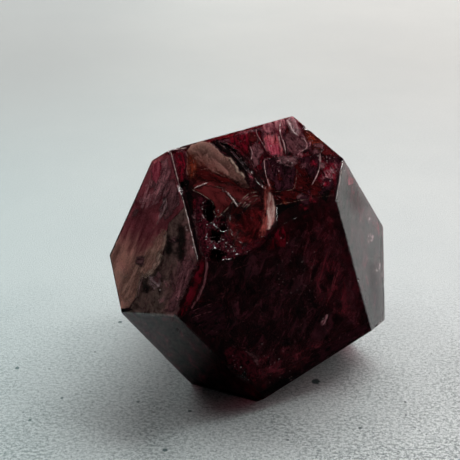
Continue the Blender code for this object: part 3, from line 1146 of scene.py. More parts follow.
        flank(Look.HAZE, 0.3, (163, 199), (167, 196), (169, 204), (163, 216), (157, 227),
              (154, 230), (157, 218), flow=115.0, ragged=2.5),
        shine(Look.HAZE, 0.2, (367.5, 217), (371, 215.5), (373, 219), (372, 224.5), (368, 225),
              flow=80.0, ragged=1.0),
        shine(Look.HAZE, 0.2, (373, 214), (376.5, 216), (377, 222), (374, 223), flow=60.0),
        shine(Look.HAZE, 0.2, (366, 235), (370, 231), (375, 235), (373.5, 242), (368, 245),
              flow=80.0, ragged=1.5),
        shine(Look.HAZE, 0.2, (376, 261), (380, 260), (382, 267), (379, 274), (374.5, 272),
              flow=80.0, ragged=1.0),),
    "lilac_panels": (
        crown(Look.LILAC, 1.0, (297, 158), (306, 156), (319, 153), (320.5, 159.8), (319, 169.8),
              (314.5, 178.7), (311, 185), (297, 184)),
        crown(Look.LILAC, 0.7, (264, 158), (276, 157), (282.8, 159), (290.5, 161.3), (296.5, 169),
              (295.5, 175.3), (294.5, 183), (293, 189.5), (276, 191.5), (274, 183),
              (268.5, 178.7), (265.2, 169.8)),
        crown(Look.LILAC, 1.2, (296, 120), (312, 133), (330, 150), (342, 160), (338, 172),
              (322, 160), (306, 140), flow=40.0, ragged=3.0),
        front(Look.LILAC, 0.7, (188, 310), (205, 300), (222, 305), (228, 325), (215, 340),
              (200, 330), (190, 322), flow=150.0, ragged=4.0),
        front(Look.LILAC, 0.8, (300, 365), (336, 335), (366, 322), (370, 330), (345, 346),
              (318, 364), (300, 376), flow=148.0, ragged=3.0),),
    "mauve_panels": (
        crown(Look.MAUVE, 0.25, (278, 158), (287, 154.5), (297.5, 156), (298, 165), (291, 169),
              (283, 167), flow=20.0, ragged=2.5),
        crown(Look.MAUVE, 0.6, (284, 128), (291, 124), (299, 128), (307, 138), (309, 148),
              (300, 154), (288, 154), (284, 143), flow=60.0, ragged=2.0),
        crown(Look.MAUVE, 0.5, (249, 145), (262, 141), (263, 152), (258, 168), (251, 170),
              flow=80.0, ragged=3.0),
        crown(Look.MAUVE, 0.3, (192, 214), (198, 206), (204, 222), (208, 240), (206, 258),
              (201, 258), (196, 236), flow=100.0, ragged=3.0),
        front(Look.MAUVE, 0.2, (228, 348), (240, 345), (256, 354), (262, 363), (255, 371),
              (241, 366), (230, 358), flow=150.0, ragged=4.0, step=1.2),
        flank(Look.MAUVE, 0.4, (182, 258), (193, 258), (195, 266), (185, 294), (174, 313),
              (164, 312), (174, 288), flow=110.0, ragged=3.0),
        flank(Look.MAUVE, 0.4, (166, 180), (176, 178), (182, 200), (174, 212), (166, 222),
              (160, 214), flow=110.0, ragged=3.0),),
    "brick_wedge": (
        crown(Look.BRICK, -0.03, (196, 181), (212, 182), (230, 184), (246, 188), (256, 192),
              (262, 200), (252, 207), (240, 205), (233, 198), (222, 190), (206, 186),
              (192, 188), flow=20.0, ragged=1.5, step=1.2),
        crown(Look.BRICK, -0.04, (191, 189), (204, 184.6), (224.4, 189), (235.5, 199),
              (227, 209), (218, 218), (213.3, 213.3), (212.2, 202.2), (200, 194.4), flow=40.0,
              ragged=0.8),
        crown(Look.BRICK, 0.3, (236, 190), (250, 186), (262, 192), (264, 204), (254, 210),
              (243, 206), flow=20.0, ragged=2.5),
        crown(Look.BRICK, 0.7, (249, 145), (262, 143), (264, 152), (258, 166), (251, 168),
              flow=80.0, ragged=2.0),
        crown(Look.BRICK, 0.9, (300, 124), (316, 134), (332, 150), (338, 158), (324, 156),
              (312, 150), (304, 140), flow=40.0, ragged=2.0),),
    "rose_streaks": (
        flank(Look.ROSE, 0.5, (152, 161.5), (168.5, 152), (184.5, 207), (178, 215), (170, 222),
              (167, 230), (166, 240), (163, 252), (159, 262), (153, 272), (146, 278),
              (141.5, 276), (139, 288), (136, 298), (129, 308), (122, 309), (119.5, 308),
              (110, 256), flow=112.0, shade=((158, 215), (128, 285)), ragged=0.8),),
    "beige_vein": (
        flank(Look.BEIGE, 0.35, (166, 229), (168, 236), (166.5, 244), (163.5, 252),
              (159.5, 262), (153.5, 272), (146, 278), (141.5, 275), (139.5, 287), (136.5, 298),
              (134, 299), (137, 286), (140, 274), (146, 273), (151, 266), (155, 256),
              (160, 246), (163, 236), flow=115.0, ragged=0.8),
        flank(Look.BEIGE, 0.3, (164, 254), (160, 264), (153.5, 273.5), (146.5, 279),
              (142.5, 277.5), (139.5, 289), (138, 289), (141, 274), (146, 276), (152, 270),
              (157, 262), (161, 253), flow=115.0, ragged=0.5),),
    "smoke_shadow": (
        flank(Look.SMOKE, 0.6, (180, 200), (184.5, 206), (197.5, 261.5), (174.5, 315.5),
              (121.5, 312), (129, 308.5), (136, 298.5), (139, 288), (141.5, 276.5),
              (146, 278.5), (153, 272.5), (159, 262.5), (163, 252.5), (166, 240.5), (167, 230),
              (164, 220), (166, 206), (172, 200), flow=100.0, shade=((156, 282), (190, 290)),
              ragged=1.2),),
    "front_clouds": (
        front(Look.CLOUD, 1.6, (210, 262), (275, 240), (332, 215), (350, 262), (366, 318),
              (330, 350), (270, 380), (236, 350), (200, 322), (190, 315), flow=120.0,
              ragged=6.0, step=2.5, relief=1.0),
        front(Look.CLOUD, 3.0, (215, 300), (290, 250), (340, 260), (360, 330), (300, 368),
              (250, 370), (216, 340), flow=70.0, ragged=6.0, step=2.5, relief=1.2),),
    "wine_clouds": (
        crown(Look.WINE, 0.5, (244, 158), (256, 160), (268, 178), (270, 196), (254, 196),
              (246, 184), flow=60.0, ragged=2.0),
        front(Look.WINE, 1.0, (300, 235), (330, 206), (340, 240), (352, 280), (360, 318),
              (335, 320), (310, 300), (303, 270), flow=100.0, ragged=5.0, step=2.5, relief=0.8),
        front(Look.WINE, 0.8, (236, 362), (262, 350), (300, 340), (345, 335), (330, 350),
              (268, 390), (250, 380), flow=150.0, ragged=4.0, step=2.5, relief=0.6),
        front(Look.WINE, 1.4, (186, 316), (200, 296), (222, 300), (230, 320), (210, 332),
              flow=150.0, ragged=3.0, step=2.0),
        crown(Look.WINE, 0.8, (194, 200), (206, 196), (210, 236), (206, 256), (200, 256),
              flow=100.0, ragged=2.0),),
}


@dataclass
class Shards:
    """Strews small angular inclusions under some facets, each at a random place of its facet.

    Looks say how many of each kind lie under each facet. Centre, reach and radii are counted in
    picture points, from the middle of a hidden facet or, where the facet is seen, from the
    picture's upper left corner. A place that doesn't fit is drawn again, up to the tries.
    """

    stone: Stone
    name: str
    facets: tuple[Facet, ...]
    looks: dict
    seed: int
    seen: bool = False
    centre: Pixel = (0.0, 0.0)
    reach: float = 80.0
    radii: Span = (14.0, 42.0)
    narrowness: Span = (0.4, 1.0)
    corner_reach: Span = (0.65, 1.15)
    depths: Span = (0.25, 0.9)
    ragged: float = 3.0
    step: float = 2.2
    corners: int = 9
    tries: int = 40
    patch_count: int = 4

    def __post_init__(self) -> None:
        """Starts the random numbers."""
        self.chance = random.Random(self.seed)

    def veils(self) -> dict:
        """Returns the veils of each piece by its name."""
        made = {}
        for look, count in self.looks.items():
            veils = [self._veil(look, facet) for facet in self.facets for _ in range(count)]
            made[f"{self.name}_{look.name.lower()}"] = tuple(veil for veil in veils if veil)
        return made

    def patches(self) -> dict:
        """Returns the patches of needles and sparks by the name of their piece."""
        outlines = [(facet, self._outline(facet))
                    for facet in self.facets for _ in range(self.patch_count)]
        outlines = [(facet, outline) for facet, outline in outlines if outline]
        return {
            self.name + "_needles": tuple(
                GrainPatch(Glint.ROSE_CRACK, facet, depth=0.25, outline=outline, density=0.8,
                           sizes=(0.04, 0.11), stretch=NEEDLE, seen=self.seen)
                for facet, outline in outlines),
            self.name + "_sparks": tuple(
                GrainPatch(Glint.SPARK, facet, depth=0.4, outline=outline, density=0.15,
                           sizes=(0.05, 0.16), seen=self.seen)
                for facet, outline in outlines[::2]),
        }

    def _veil(self, look: Look, facet: Facet) -> Veil | None:
        """Returns one veil, or none where the facet is too small."""
        outline = self._outline(facet)
        if outline is None:
            return None
        return Veil(look, facet, self.chance.uniform(*self.depths), outline,
                    flow=self.chance.uniform(0.0, 180.0), ragged=self.ragged, step=self.step,
                    seen=self.seen, shade=(outline[0], outline[self.corners // 2]))

    def _outline(self, facet: Facet) -> tuple[Pixel, ...] | None:
        """Returns an angular outline that fits on a facet."""
        fits = self.stone.shows if self.seen else self.stone.is_on
        for _ in range(self.tries):
            aside = Vector([self.chance.uniform(-self.reach, self.reach) for _ in range(2)])
            middle = Vector(self.centre) + aside
            size, long = (self.chance.uniform(*ends) for ends in (self.radii, self.narrowness))
            turn = self.chance.uniform(0.0, math.pi)
            points = []
            for corner in range(self.corners):
                angle = math.tau * corner / self.corners
                spread = size * self.chance.uniform(*self.corner_reach)
                point = Vector((math.cos(angle) * spread, math.sin(angle) * spread * long))
                point.rotate(Matrix.Rotation(turn, 2))
                points.append(middle + point)
            if all(fits(point, facet) for point in points):
                return tuple(tuple(point) for point in points)
        return None


def make_shards(stone: Stone) -> tuple[Shards, ...]:
    """Returns the shards under the facets that face away and under those in view."""
    hidden = (Facet.REAR_CROWN, Facet.RIGHT_SHOULDER, Facet.RIGHT_HEEL, Facet.REAR,
              Facet.LEFT_REAR, Facet.LEFT_HEEL, Facet.RIGHT_UNDERSIDE, Facet.CROWN_CORNER)
    return (
        Shards(stone, "hidden", hidden, {
            Look.WINE: 6, Look.CLOUD: 4, Look.MAUVE: 3, Look.EMBER: 2, Look.CRIMSON: 1,
            Look.RUST: 1, Look.BLACK: 1}, 19, ragged=7.0),
        Shards(stone, "crown", (Facet.CROWN,), {
            Look.MAUVE: 7, Look.CRIMSON: 9, Look.LILAC: 9, Look.PINK: 8, Look.BLACK: 4,
            Look.BRICK: 7, Look.HAZE: 4, Look.ORANGE: 2}, 23, seen=True, centre=(297.0, 160.0),
            reach=46.0, radii=(2.5, 8.0), depths=(0.2, 0.7), ragged=1.5, step=1.2, tries=300),
        Shards(stone, "flank", (Facet.LEFT_FLANK,), {
            Look.MAUVE: 6, Look.PINK: 7}, 29,
            seen=True, centre=(155.0, 235.0), reach=85.0, radii=(4.0, 10.0), depths=(0.15, 0.4),
            ragged=2.0, step=1.2, tries=300),
    )


# ---------------------------------------------------------------------------------------------
# Strands and grains, grown with Geometry Nodes
# ---------------------------------------------------------------------------------------------
class GrowthTree:
    """A Geometry Nodes tree with named inputs, built call by call."""

    def __init__(self, name: str, inputs: dict) -> None:
        """Starts a tree.

        Args:
            name: the tree's name.
            inputs: the socket type of each input by name, after the geometry.
        """
        self.tree = bpy.data.node_groups.new(name, "GeometryNodeTree")
        face = self.tree.interface
        face.new_socket("Geometry", in_out="INPUT", socket_type="NodeSocketGeometry")
        face.new_socket("Geometry", in_out="OUTPUT", socket_type="NodeSocketGeometry")
        self.names = {
            key: face.new_socket(key, in_out="INPUT", socket_type=kind).identifier
            for key, kind in inputs.items()
        }
        self.source = self.tree.nodes.new("NodeGroupInput")

    def given(self, name: str) -> bpy.types.NodeSocket:
        """Returns one of the tree's inputs."""
        return self.source.outputs[name]

    def node(self, kind: str, settings: dict, inputs: dict,
             output: int | str = 0) -> bpy.types.NodeSocket:
        """Adds a node and returns one of its outputs.

        Args:
            kind: the node's type.
            settings: its properties.
            inputs: values or sockets by name or number.
            output: the socket to return.

        Returns:
            The chosen output.
        """
        made = self.tree.nodes.new(kind)
        for name, value in settings.items():
            setattr(made, name, value)
        for name, value in inputs.items():
            if isinstance(value, bpy.types.NodeSocket):
                self.tree.links.new(value, made.inputs[name])
            else:
                made.inputs[name].default_value = value
        return made.outputs[output]

    def close(self, geometry: bpy.types.NodeSocket) -> None:
        """Realizes, dresses and returns the geometry."""
        real = self.node("GeometryNodeRealizeInstances", {}, {"Geometry": geometry})
        dressed = self.node("GeometryNodeSetMaterial", {},
                            {"Geometry": real, "Material": self.given("Material")})
        self.tree.links.new(dressed, self.tree.nodes.new("NodeGroupOutput").inputs[0])

    def grow(self, name: str, bm: bmesh.types.BMesh, values: dict) -> bpy.types.Object:
        """Runs the tree on a seed mesh.

        Args:
            name: the piece's name.
            bm: the seed mesh in millimetres, which is freed.
            values: the tree's inputs by name.

        Returns:
            The finished piece, as a plain mesh.
        """
        seed = make_piece(name + "_seed", bm, values["Material"])
        growth = seed.modifiers.new("growth", "NODES")
        growth.node_group = self.tree
        for key, value in values.items():
            growth[self.names[key]] = value
        grown = bpy.data.meshes.new_from_object(
            seed.evaluated_get(bpy.context.evaluated_depsgraph_get()))
        seed.modifiers.remove(growth)
        bpy.data.objects.remove(seed)
        grown.name = name
        piece = bpy.data.objects.new(name, grown)
        bpy.context.scene.collection.objects.link(piece)
        return mount(piece)


def strand_tree() -> GrowthTree:
    """Returns the tree that turns lines into thin uneven strands with pointed ends."""
    taper_gain, thinnest, halfway = 9.0, 0.12, (0.5, 0.5, 0.5)
    drift_noise = {"Scale": 1.1 / MM, "Detail": 2.0}
    swell_noise = {"Scale": 1.6 / MM, "Detail": 1.0}
    kinds = {"Thickness": "NodeSocketFloat", "Step": "NodeSocketFloat",
             "Wander": "NodeSocketFloat", "Sides": "NodeSocketInt",
             "Material": "NodeSocketMaterial"}
    tree = GrowthTree("strands", kinds)
    line = tree.node("GeometryNodeMeshToCurve", {}, {"Mesh": tree.given("Geometry")})
    line = tree.node("GeometryNodeResampleCurve", {"mode": "LENGTH"},
                     {"Curve": line, "Length": tree.given("Step")})
    drift = tree.node("ShaderNodeTexNoise", {}, drift_noise, "Color")
    drift = tree.node("ShaderNodeVectorMath", {"operation": "SUBTRACT"}, {0: drift, 1: halfway})
    drift = tree.node("ShaderNodeVectorMath", {"operation": "SCALE"},
                      {0: drift, "Scale": tree.given("Wander")})
    line = tree.node("GeometryNodeSetPosition", {}, {"Geometry": line, "Offset": drift})
    along = tree.node("GeometryNodeSplineParameter", {}, {}, "Factor")
    back = tree.node("ShaderNodeMath", {"operation": "SUBTRACT"}, {0: 1.0, 1: along})
    taper = tree.node("ShaderNodeMath", {"operation": "MULTIPLY"}, {0: along, 1: back})
    taper = tree.node("ShaderNodeMath", {"operation": "MULTIPLY", "use_clamp": True},
                      {0: taper, 1: taper_gain})
    swell = tree.node("ShaderNodeTexNoise", {}, swell_noise)
    width = tree.node("ShaderNodeMath", {"operation": "MULTIPLY_ADD"},
                      {0: taper, 1: swell, 2: thinnest})
    line = tree.node("GeometryNodeSetCurveRadius", {}, {"Curve": line, "Radius": width})
    ring = tree.node("GeometryNodeCurvePrimitiveCircle", {},
                     {"Resolution": tree.given("Sides"), "Radius": tree.given("Thickness")})
    tree.close(tree.node("GeometryNodeCurveToMesh", {},
                         {"Curve": line, "Profile Curve": ring, "Scale": width,
                          "Fill Caps": True}))
    return tree


def grain_tree() -> GrowthTree:
    """Returns the tree that strews small angular grains over a patch."""
    flattest, fullest = (0.3, 0.5, 0.15), (1.0, 1.0, 0.5)
    unturned, full_turn = (0.0, 0.0, 0.0), (math.tau, math.tau, math.tau)
    kinds = {"Per Square Millimetre": "NodeSocketFloat", "Smallest": "NodeSocketFloat",
             "Largest": "NodeSocketFloat", "Stretch": "NodeSocketVector",
             "Seed": "NodeSocketInt", "Material": "NodeSocketMaterial"}
    tree = GrowthTree("grains", kinds)
    density = tree.node("ShaderNodeMath", {"operation": "DIVIDE"},
                        {0: tree.given("Per Square Millimetre"), 1: MM * MM})
    points = tree.node(
        "GeometryNodeDistributePointsOnFaces", {"distribute_method": "RANDOM"},
        {"Mesh": tree.given("Geometry"), "Density": density, "Seed": tree.given("Seed")})
    shape = tree.node("GeometryNodeMeshIcoSphere", {}, {"Radius": 1.0, "Subdivisions": 1})
    size = tree.node("FunctionNodeRandomValue", {"data_type": "FLOAT"},
                     {2: tree.given("Smallest"), 3: tree.given("Largest"),
                      "Seed": tree.given("Seed")}, 1)
    flat = tree.node("FunctionNodeRandomValue", {"data_type": "FLOAT_VECTOR"},
                     {0: flattest, 1: fullest, "Seed": tree.given("Seed")})
    size = tree.node("ShaderNodeVectorMath", {"operation": "SCALE"}, {0: flat, "Scale": size})
    size = tree.node("ShaderNodeVectorMath", {"operation": "MULTIPLY"},
                     {0: size, 1: tree.given("Stretch")})
    turn = tree.node("FunctionNodeRandomValue", {"data_type": "FLOAT_VECTOR"},
                     {0: unturned, 1: full_turn, "Seed": tree.given("Seed")})
    tree.close(tree.node("GeometryNodeInstanceOnPoints", {},
                         {"Points": points, "Instance": shape, "Scale": size, "Rotation": turn}))
    return tree


@dataclass(frozen=True)
class StrandFinish:
    """The glint of an open crack, or a worn edge's painted highlight."""

    colour: Colour
    roughness: float = 0.3
    metallic: float = 0.0
    gaps: Span = (0.3, 0.45)
    patches: ClassVar[Grain] = Grain(0.8, 4.0, 0.7)
    toned: ClassVar[Span] = (0.35, 0.65)
    darker: ClassVar[float] = 0.45
    roughening: ClassVar[Grain] = Grain(4.0)
    relief: ClassVar[float] = 0.08

    def make(self, name: str) -> bpy.types.Material:
        """Returns the strand's material, with that name."""
        graph = Graph(name)
        patchy = graph.grain(graph.place(), self.patches)
        dark = tuple(self.darker * channel for channel in self.colour)
        tone = graph.blend(patchy.between(*self.toned), dark, self.colour)
        shader = graph.node(
            "ShaderNodeBsdfPrincipled",
            {},
            {"Base Color": tone, "Roughness": self.roughness, "Metallic": self.metallic,
             "Alpha": patchy.between(*self.gaps),
             "Normal": graph.relief(graph.grain(graph.place(), self.roughening), self.relief)},
        )
        return graph.surface(shader)


class Glint(Enum):
    """The finishes of strands and grains."""

    # Painted highlight along the edges that catch the light, with some wear.
    WORN_EDGE = StrandFinish((0.85, 0.64, 0.58), 0.5, gaps=(0.30, 0.48))
    PALE_CRACK = StrandFinish((0.95, 0.72, 0.70), 0.25, 0.3)
    ROSE_CRACK = StrandFinish((0.62, 0.24, 0.26), 0.3, 0.2, gaps=(0.38, 0.6))
    TAN_CRACK = StrandFinish((0.42, 0.27, 0.2), 0.4, gaps=(0.4, 0.6))
    SPARK = StrandFinish((1.0, 0.84, 0.80), 0.45, gaps=(0.0, 0.1))
    CRUMB = StrandFinish((0.50, 0.34, 0.34), 0.7, gaps=(0.2, 0.4))


@dataclass(frozen=True)
class Strand:
    """One line of a crack: the facet it is seen through, its depth and its route."""

    facet: Facet
    depth: float
    route: tuple[Pixel, ...]


@dataclass(frozen=True)
class StrandGroup:
    """Strands that share a finish and a thickness, in millimetres."""

    glint: Glint
    thickness: float
    strands: tuple[Strand, ...]
    wander: float = 0.25


@dataclass(frozen=True)
class GrainPatch:
    """A patch strewn with grains: per square millimetre, and their sizes in millimetres."""

    glint: Glint
    facet: Facet
    depth: float
    outline: tuple[Pixel, ...]
    density: float = 2.0
    sizes: Span = (0.04, 0.14)
    stretch: Axes = (1.0, 1.0, 1.0)
    seen: bool = True


@dataclass
class GlintMaker:
    """Builds strands and grains."""

    stone: Stone
    step: float = 0.22
    sides: int = 5
    margin: float = 0.1
    roundings: int = 2
    corner_cut: float = 0.25
    patch_step: float = 1.5
    sparkle: Span = (0.08, 0.19)
    seed: int = 7
    materials: dict = field(default_factory=dict)

    def __post_init__(self) -> None:
        """Makes the two growth trees."""
        self.strand_tree = strand_tree()
        self.grain_tree = grain_tree()

    def _material(self, glint: Glint) -> bpy.types.Material:
        """Returns a finish, made once."""
        if glint not in self.materials:
            self.materials[glint] = glint.value.make(glint.name.lower())
        return self.materials[glint]

    def strands(self, name: str, group: StrandGroup) -> bpy.types.Object:
        """Builds a group of strands as one piece."""
        bm = bmesh.new()
        for strand in group.strands:
            places = [self._place(pixel, strand) for pixel in self._smooth(strand.route)]
            vertices = [bm.verts.new(place) for place in places]
            for start, end in zip(vertices, vertices[1:]):
                bm.edges.new((start, end))
        return self.strand_tree.grow(name, bm, {
            "Thickness": group.thickness * MM, "Step": self.step * MM,
            "Wander": group.wander * MM, "Sides": self.sides,
            "Material": self._material(group.glint)})

    def _place(self, pixel: Pixel, strand: Strand) -> Vector:
        """Returns where a point of a strand lies."""
        place = self.stone.beneath(pixel, strand.facet, strand.depth)
        return place if strand.depth <= 0.0 else self.stone.kept_inside(place, self.margin)

    def _smooth(self, route: tuple[Pixel, ...]) -> list[Pixel]:
        """Returns a route with its corners rounded off, ends kept."""
        points = [Vector(point) for point in route]
        for _ in range(self.roundings):
            cut = [points[0]]
            for start, end in zip(points, points[1:]):
                cut += [start.lerp(end, share) for share in (self.corner_cut, 1 - self.corner_cut)]
            points = cut + [points[-1]]
        return [tuple(point) for point in points]

    def sparkles(self, name: str, spots: dict) -> bpy.types.Object:
        """Builds single bright grains on the surface, painted glints, as one piece.

        Args:
            name: the piece's name.
            spots: the picture points of the grains by the facet they are seen through.

        Returns:
            The mounted piece.
        """
        chance, bm = random.Random(self.seed), bmesh.new()
        for facet, pixels in spots.items():
            for pixel in pixels:
                place = self.stone.beneath(pixel, facet, 0.0)
                size = Vector([chance.uniform(*self.sparkle) for _ in range(3)])
                turn = Euler([chance.uniform(0.0, math.tau) for _ in range(3)])
                bmesh.ops.create_icosphere(
                    bm, subdivisions=1, radius=1.0,
                    matrix=Matrix.LocRotScale(place, turn, size))
        return mount(make_piece(name, bm, self._material(Glint.SPARK)))

    def grains(self, name: str, patches: tuple[GrainPatch, ...]) -> bpy.types.Object:
        """Builds patches of grains of one finish as one piece."""
        first, bm = patches[0], bmesh.new()
        for patch in patches:
            rim = [Vector(point) for point in patch.outline]
            points, faces = fill(rim, self.patch_step)
            find = self.stone.beneath if patch.seen else self.stone.laid
            vertices = [bm.verts.new(find(point, patch.facet, patch.depth)) for point in points]
            for face in faces:
                bm.faces.new([vertices[index] for index in face])
        return self.grain_tree.grow(name, bm, {
            "Per Square Millimetre": first.density, "Smallest": first.sizes[0] * MM,
            "Largest": first.sizes[1] * MM, "Stretch": first.stretch, "Seed": self.seed,
            "Material": self._material(first.glint)})


CR, FR, LF = Facet.CROWN, Facet.FRONT, Facet.LEFT_FLANK

# Painted glints: the picture points where single bright grains sit on the surface.
SPARKLES = {
    CR: ((327, 161), (334, 157.5), (307, 129), (321.5, 151.5), (181.7, 147.5), (288, 160.5),
         (292, 163), (327, 177), (330, 181), (324, 184), (318, 156), (203, 203), (202, 209),
         (204, 216), (222, 224), (226, 243), (231, 247), (252, 131), (271, 146), (241, 158)),
    FR: ((281, 238), (297, 290), (291, 293), (302, 262), (291, 380), (279, 359), (262, 237),
         (247, 252), (228, 251), (287, 243), (234, 360), (241, 367), (262, 344), (323, 318.5)),
    LF: ((155, 283), (158, 286), (186, 227), (187, 230), (160, 290), (124, 303), (129, 300)),
}

STRANDS = {
    "shelf_crinkles": StrandGroup(Glint.TAN_CRACK, 0.12, (
        Strand(CR, 0.15, ((231, 158), (229, 161), (225, 163))),
        Strand(CR, 0.15, ((235, 163), (231, 166), (228, 169))),
        Strand(CR, 0.15, ((238, 168), (234, 170), (230, 173))),
        Strand(CR, 0.15, ((240, 172), (236, 174), (233, 177))),
        Strand(CR, 0.15, ((225, 156), (223, 158), (220, 161))),
        Strand(CR, 0.15, ((219, 151), (218, 154), (215, 156))),
        Strand(CR, 0.15, ((245, 177), (241, 179), (236, 181))),
        Strand(CR, -0.06, ((239, 205), (243, 198), (250, 193), (257, 192))),
        Strand(CR, -0.06, ((242, 207), (247, 200), (254, 196), (259, 196))),
        Strand(CR, -0.06, ((246, 208), (251, 203), (257, 200))),
    )),
    "worn_edges": StrandGroup(Glint.WORN_EDGE, 0.11, (
        # Painted highlights: pale strands along the edges that catch the light, partly wear.
        Strand(CR, -0.02, ((170.3, 149.6), (176, 172.8), (180.5, 190))),
        Strand(CR, -0.02, ((182.3, 197), (190, 228), (198.0, 261.0))),
        Strand(CR, -0.02, ((343.6, 159.3), (340, 179.5), (336.2, 199.6))),
        Strand(CR, -0.02, ((187, 147.8), (181, 148.8), (174, 150))),
    ), wander=0.04),
    "pale_cracks": StrandGroup(Glint.PALE_CRACK, 0.17, (
        Strand(CR, -0.06, ((287.2, 119.8), (290.5, 126.4), (293.9, 133), (298.3, 135.9))),
        Strand(CR, 0.1, ((280.5, 121), (279.4, 129.8), (281, 136.4), (283.9, 143), (286, 154))),
        Strand(CR, 0.4, ((255.6, 128.7), (257.2, 135.3), (261.7, 142), (265, 148.7))),
        Strand(CR, 0.3, ((320, 152), (321, 159.8), (319.4, 169.8), (315, 178.7), (311.7, 185.3))),
        Strand(CR, 0.2, ((267, 178.5), (268.3, 183), (269.7, 187.5))),
        Strand(CR, -0.06, ((227.8, 192.2), (233.3, 200), (237.8, 206.7))),
        Strand(CR, -0.06, ((194, 188.5), (203, 184.6), (207, 183))),
        # Painted highlight: a pale strand under the same glint on the front.
        Strand(FR, 0.8, ((326.5, 315.5), (324.5, 319), (321.5, 325))),
        Strand(LF, 0.25, ((143, 276), (140.5, 284), (139, 291), (138, 297))),
        Strand(LF, 0.25, ((166, 198), (167, 205), (163, 213), (160, 219))),
        Strand(CR, 0.3, ((264, 158), (264.5, 170), (267, 178.5))),
        Strand(CR, -0.06, ((226, 191), (230, 197), (234, 202), (237.5, 207))),
        Strand(CR, 0.3, ((301, 137), (306, 141), (308, 148), (300, 152))),
        Strand(CR, 0.3, ((250, 146), (252.5, 153), (251, 160))),
        Strand(CR, 0.2, ((278.5, 136), (280, 143), (281, 150))),
        Strand(CR, 0.2, ((319, 154), (320.5, 166), (316.5, 177), (312, 185))),
    )),
    "tan_cracks": StrandGroup(Glint.TAN_CRACK, 0.09, (
        Strand(CR, 0.15, ((275, 191.8), (284, 191), (293.9, 189.6), (296, 183), (297, 169))),
        Strand(CR, 0.1, ((275.5, 204.9), (290.5, 202.2), (301.7, 200.3), (318.3, 197),
                         (335, 195.5))),
        Strand(CR, 0.25, ((186.2, 152), (188, 158), (186.5, 166), (187.5, 176))),
        Strand(CR, -0.06, ((204, 184.6), (214, 186), (224.4, 189), (235.5, 199))),
        Strand(CR, -0.06, ((235.5, 199), (227, 209), (218, 218))),
        Strand(CR, -0.06, ((213, 203), (213, 212), (218, 218))),
        Strand(CR, -0.06, ((191, 189), (206, 197), (213, 203))),
        Strand(CR, 0.2, ((200, 170), (207, 168.5), (216, 168))),
        Strand(CR, 0.2, ((193, 158), (194.5, 166), (193, 178))),
        Strand(CR, 0.2, ((202, 152), (206, 156), (212, 156.5))),
        Strand(CR, 0.2, ((214, 171), (222, 176), (233, 178))),
        Strand(CR, 0.2, ((205, 164), (214, 163), (221, 166))),
        Strand(LF, 0.2, ((166, 231), (166.2, 243), (162, 254), (157, 264), (152, 272),
                         (146, 277.5))),
        Strand(LF, 0.2, ((146, 277.5), (141.5, 276), (139, 288), (135.5, 298), (129, 307.5),
                         (122, 309))),
        Strand(LF, 0.2, ((147, 311), (157, 312), (161, 318))),
        Strand(LF, 0.3, ((166, 211), (159, 220), (152, 230), (150, 236))),
    )),
    "rose_cracks": StrandGroup(Glint.ROSE_CRACK, 0.09, (
        Strand(FR, 0.8, ((341, 262), (334, 284), (327, 302), (322, 322))),
        Strand(FR, 0.9, ((336, 270), (331, 288), (326, 297))),
        Strand(FR, 0.7, ((222, 277), (233, 270), (245, 265))),
        Strand(FR, 0.8, ((236, 357), (243, 352), (258, 345), (262, 348))),
        Strand(FR, 0.9, ((282, 306), (284, 316), (283, 327))),
        Strand(FR, 0.7, ((190, 312), (205, 306), (219, 301))),
        Strand(FR, 0.7, ((192, 318), (204, 313), (216, 311))),
        Strand(FR, 0.5, ((225, 259), (243, 255.5), (255, 250.5), (263, 243), (273, 230))),
        Strand(FR, 0.6, ((315, 258), (311, 272), (309, 284))),
        Strand(CR, -0.06, ((238, 206), (248, 196), (256, 192))),
        Strand(CR, -0.06, ((243, 208), (252, 200), (262, 198))),
    )),
}

NEEDLE = (7.0, 0.5, 0.5)

GRAINS = {
    "pit_crumbs": (
        GrainPatch(Glint.CRUMB, CR, -0.03, ((199, 203), (206, 200), (206, 222), (199, 222)), 4.0,
                   (0.04, 0.13)),
        GrainPatch(Glint.CRUMB, CR, -0.03, ((207, 238), (222, 236), (236, 244), (232, 254),
                                            (214, 248), (206, 246))),
        GrainPatch(Glint.CRUMB, CR, -0.03, ((208, 222), (222, 220), (224, 230), (211, 228))),
        GrainPatch(Glint.CRUMB, FR, -0.03, ((229, 355), (235, 354), (240, 362), (235, 368))),),
    "sparks": (
        GrainPatch(Glint.SPARK, CR, 0.25, ((290, 122), (308, 132), (330, 152), (341, 162),
                                           (336, 192), (318, 190), (318, 160), (296, 154)), 0.5,
                   (0.06, 0.22)),
        GrainPatch(Glint.SPARK, CR, 0.4, ((262, 150), (290, 156), (296, 172), (270, 176))),
        GrainPatch(Glint.SPARK, CR, 0.3, ((284, 158), (294, 157), (295, 165), (286, 166))),
        GrainPatch(Glint.SPARK, FR, 0.9, ((275, 234), (320, 250), (318, 300), (280, 300))),
        GrainPatch(Glint.SPARK, FR, 0.7, ((262, 350), (292, 348), (292, 378), (270, 384))),),
    "crown_needles": (
        GrainPatch(Glint.ROSE_CRACK, CR, 0.22, ((172, 152), (187, 147.8), (291, 117), (342, 160),
                                                (336, 196), (276, 206), (222, 232), (200, 256),
                                                (184, 196)), 0.9, (0.04, 0.11), NEEDLE),
        GrainPatch(Glint.ROSE_CRACK, FR, 0.5, ((206, 260), (276, 232), (336, 204), (372, 320),
                                               (300, 368), (262, 392), (190, 318))),
        GrainPatch(Glint.ROSE_CRACK, LF, 0.3, ((152, 164), (167, 155), (196, 261), (172, 312),
                                               (124, 308), (112, 256))),),
}


# ---------------------------------------------------------------------------------------------
# Studio
# ---------------------------------------------------------------------------------------------
@dataclass(frozen=True)
class Pore:
    """An open pore of the floor: where it is seen, and its half widths in millimetres."""

    pixel: Pixel
    reach: Span


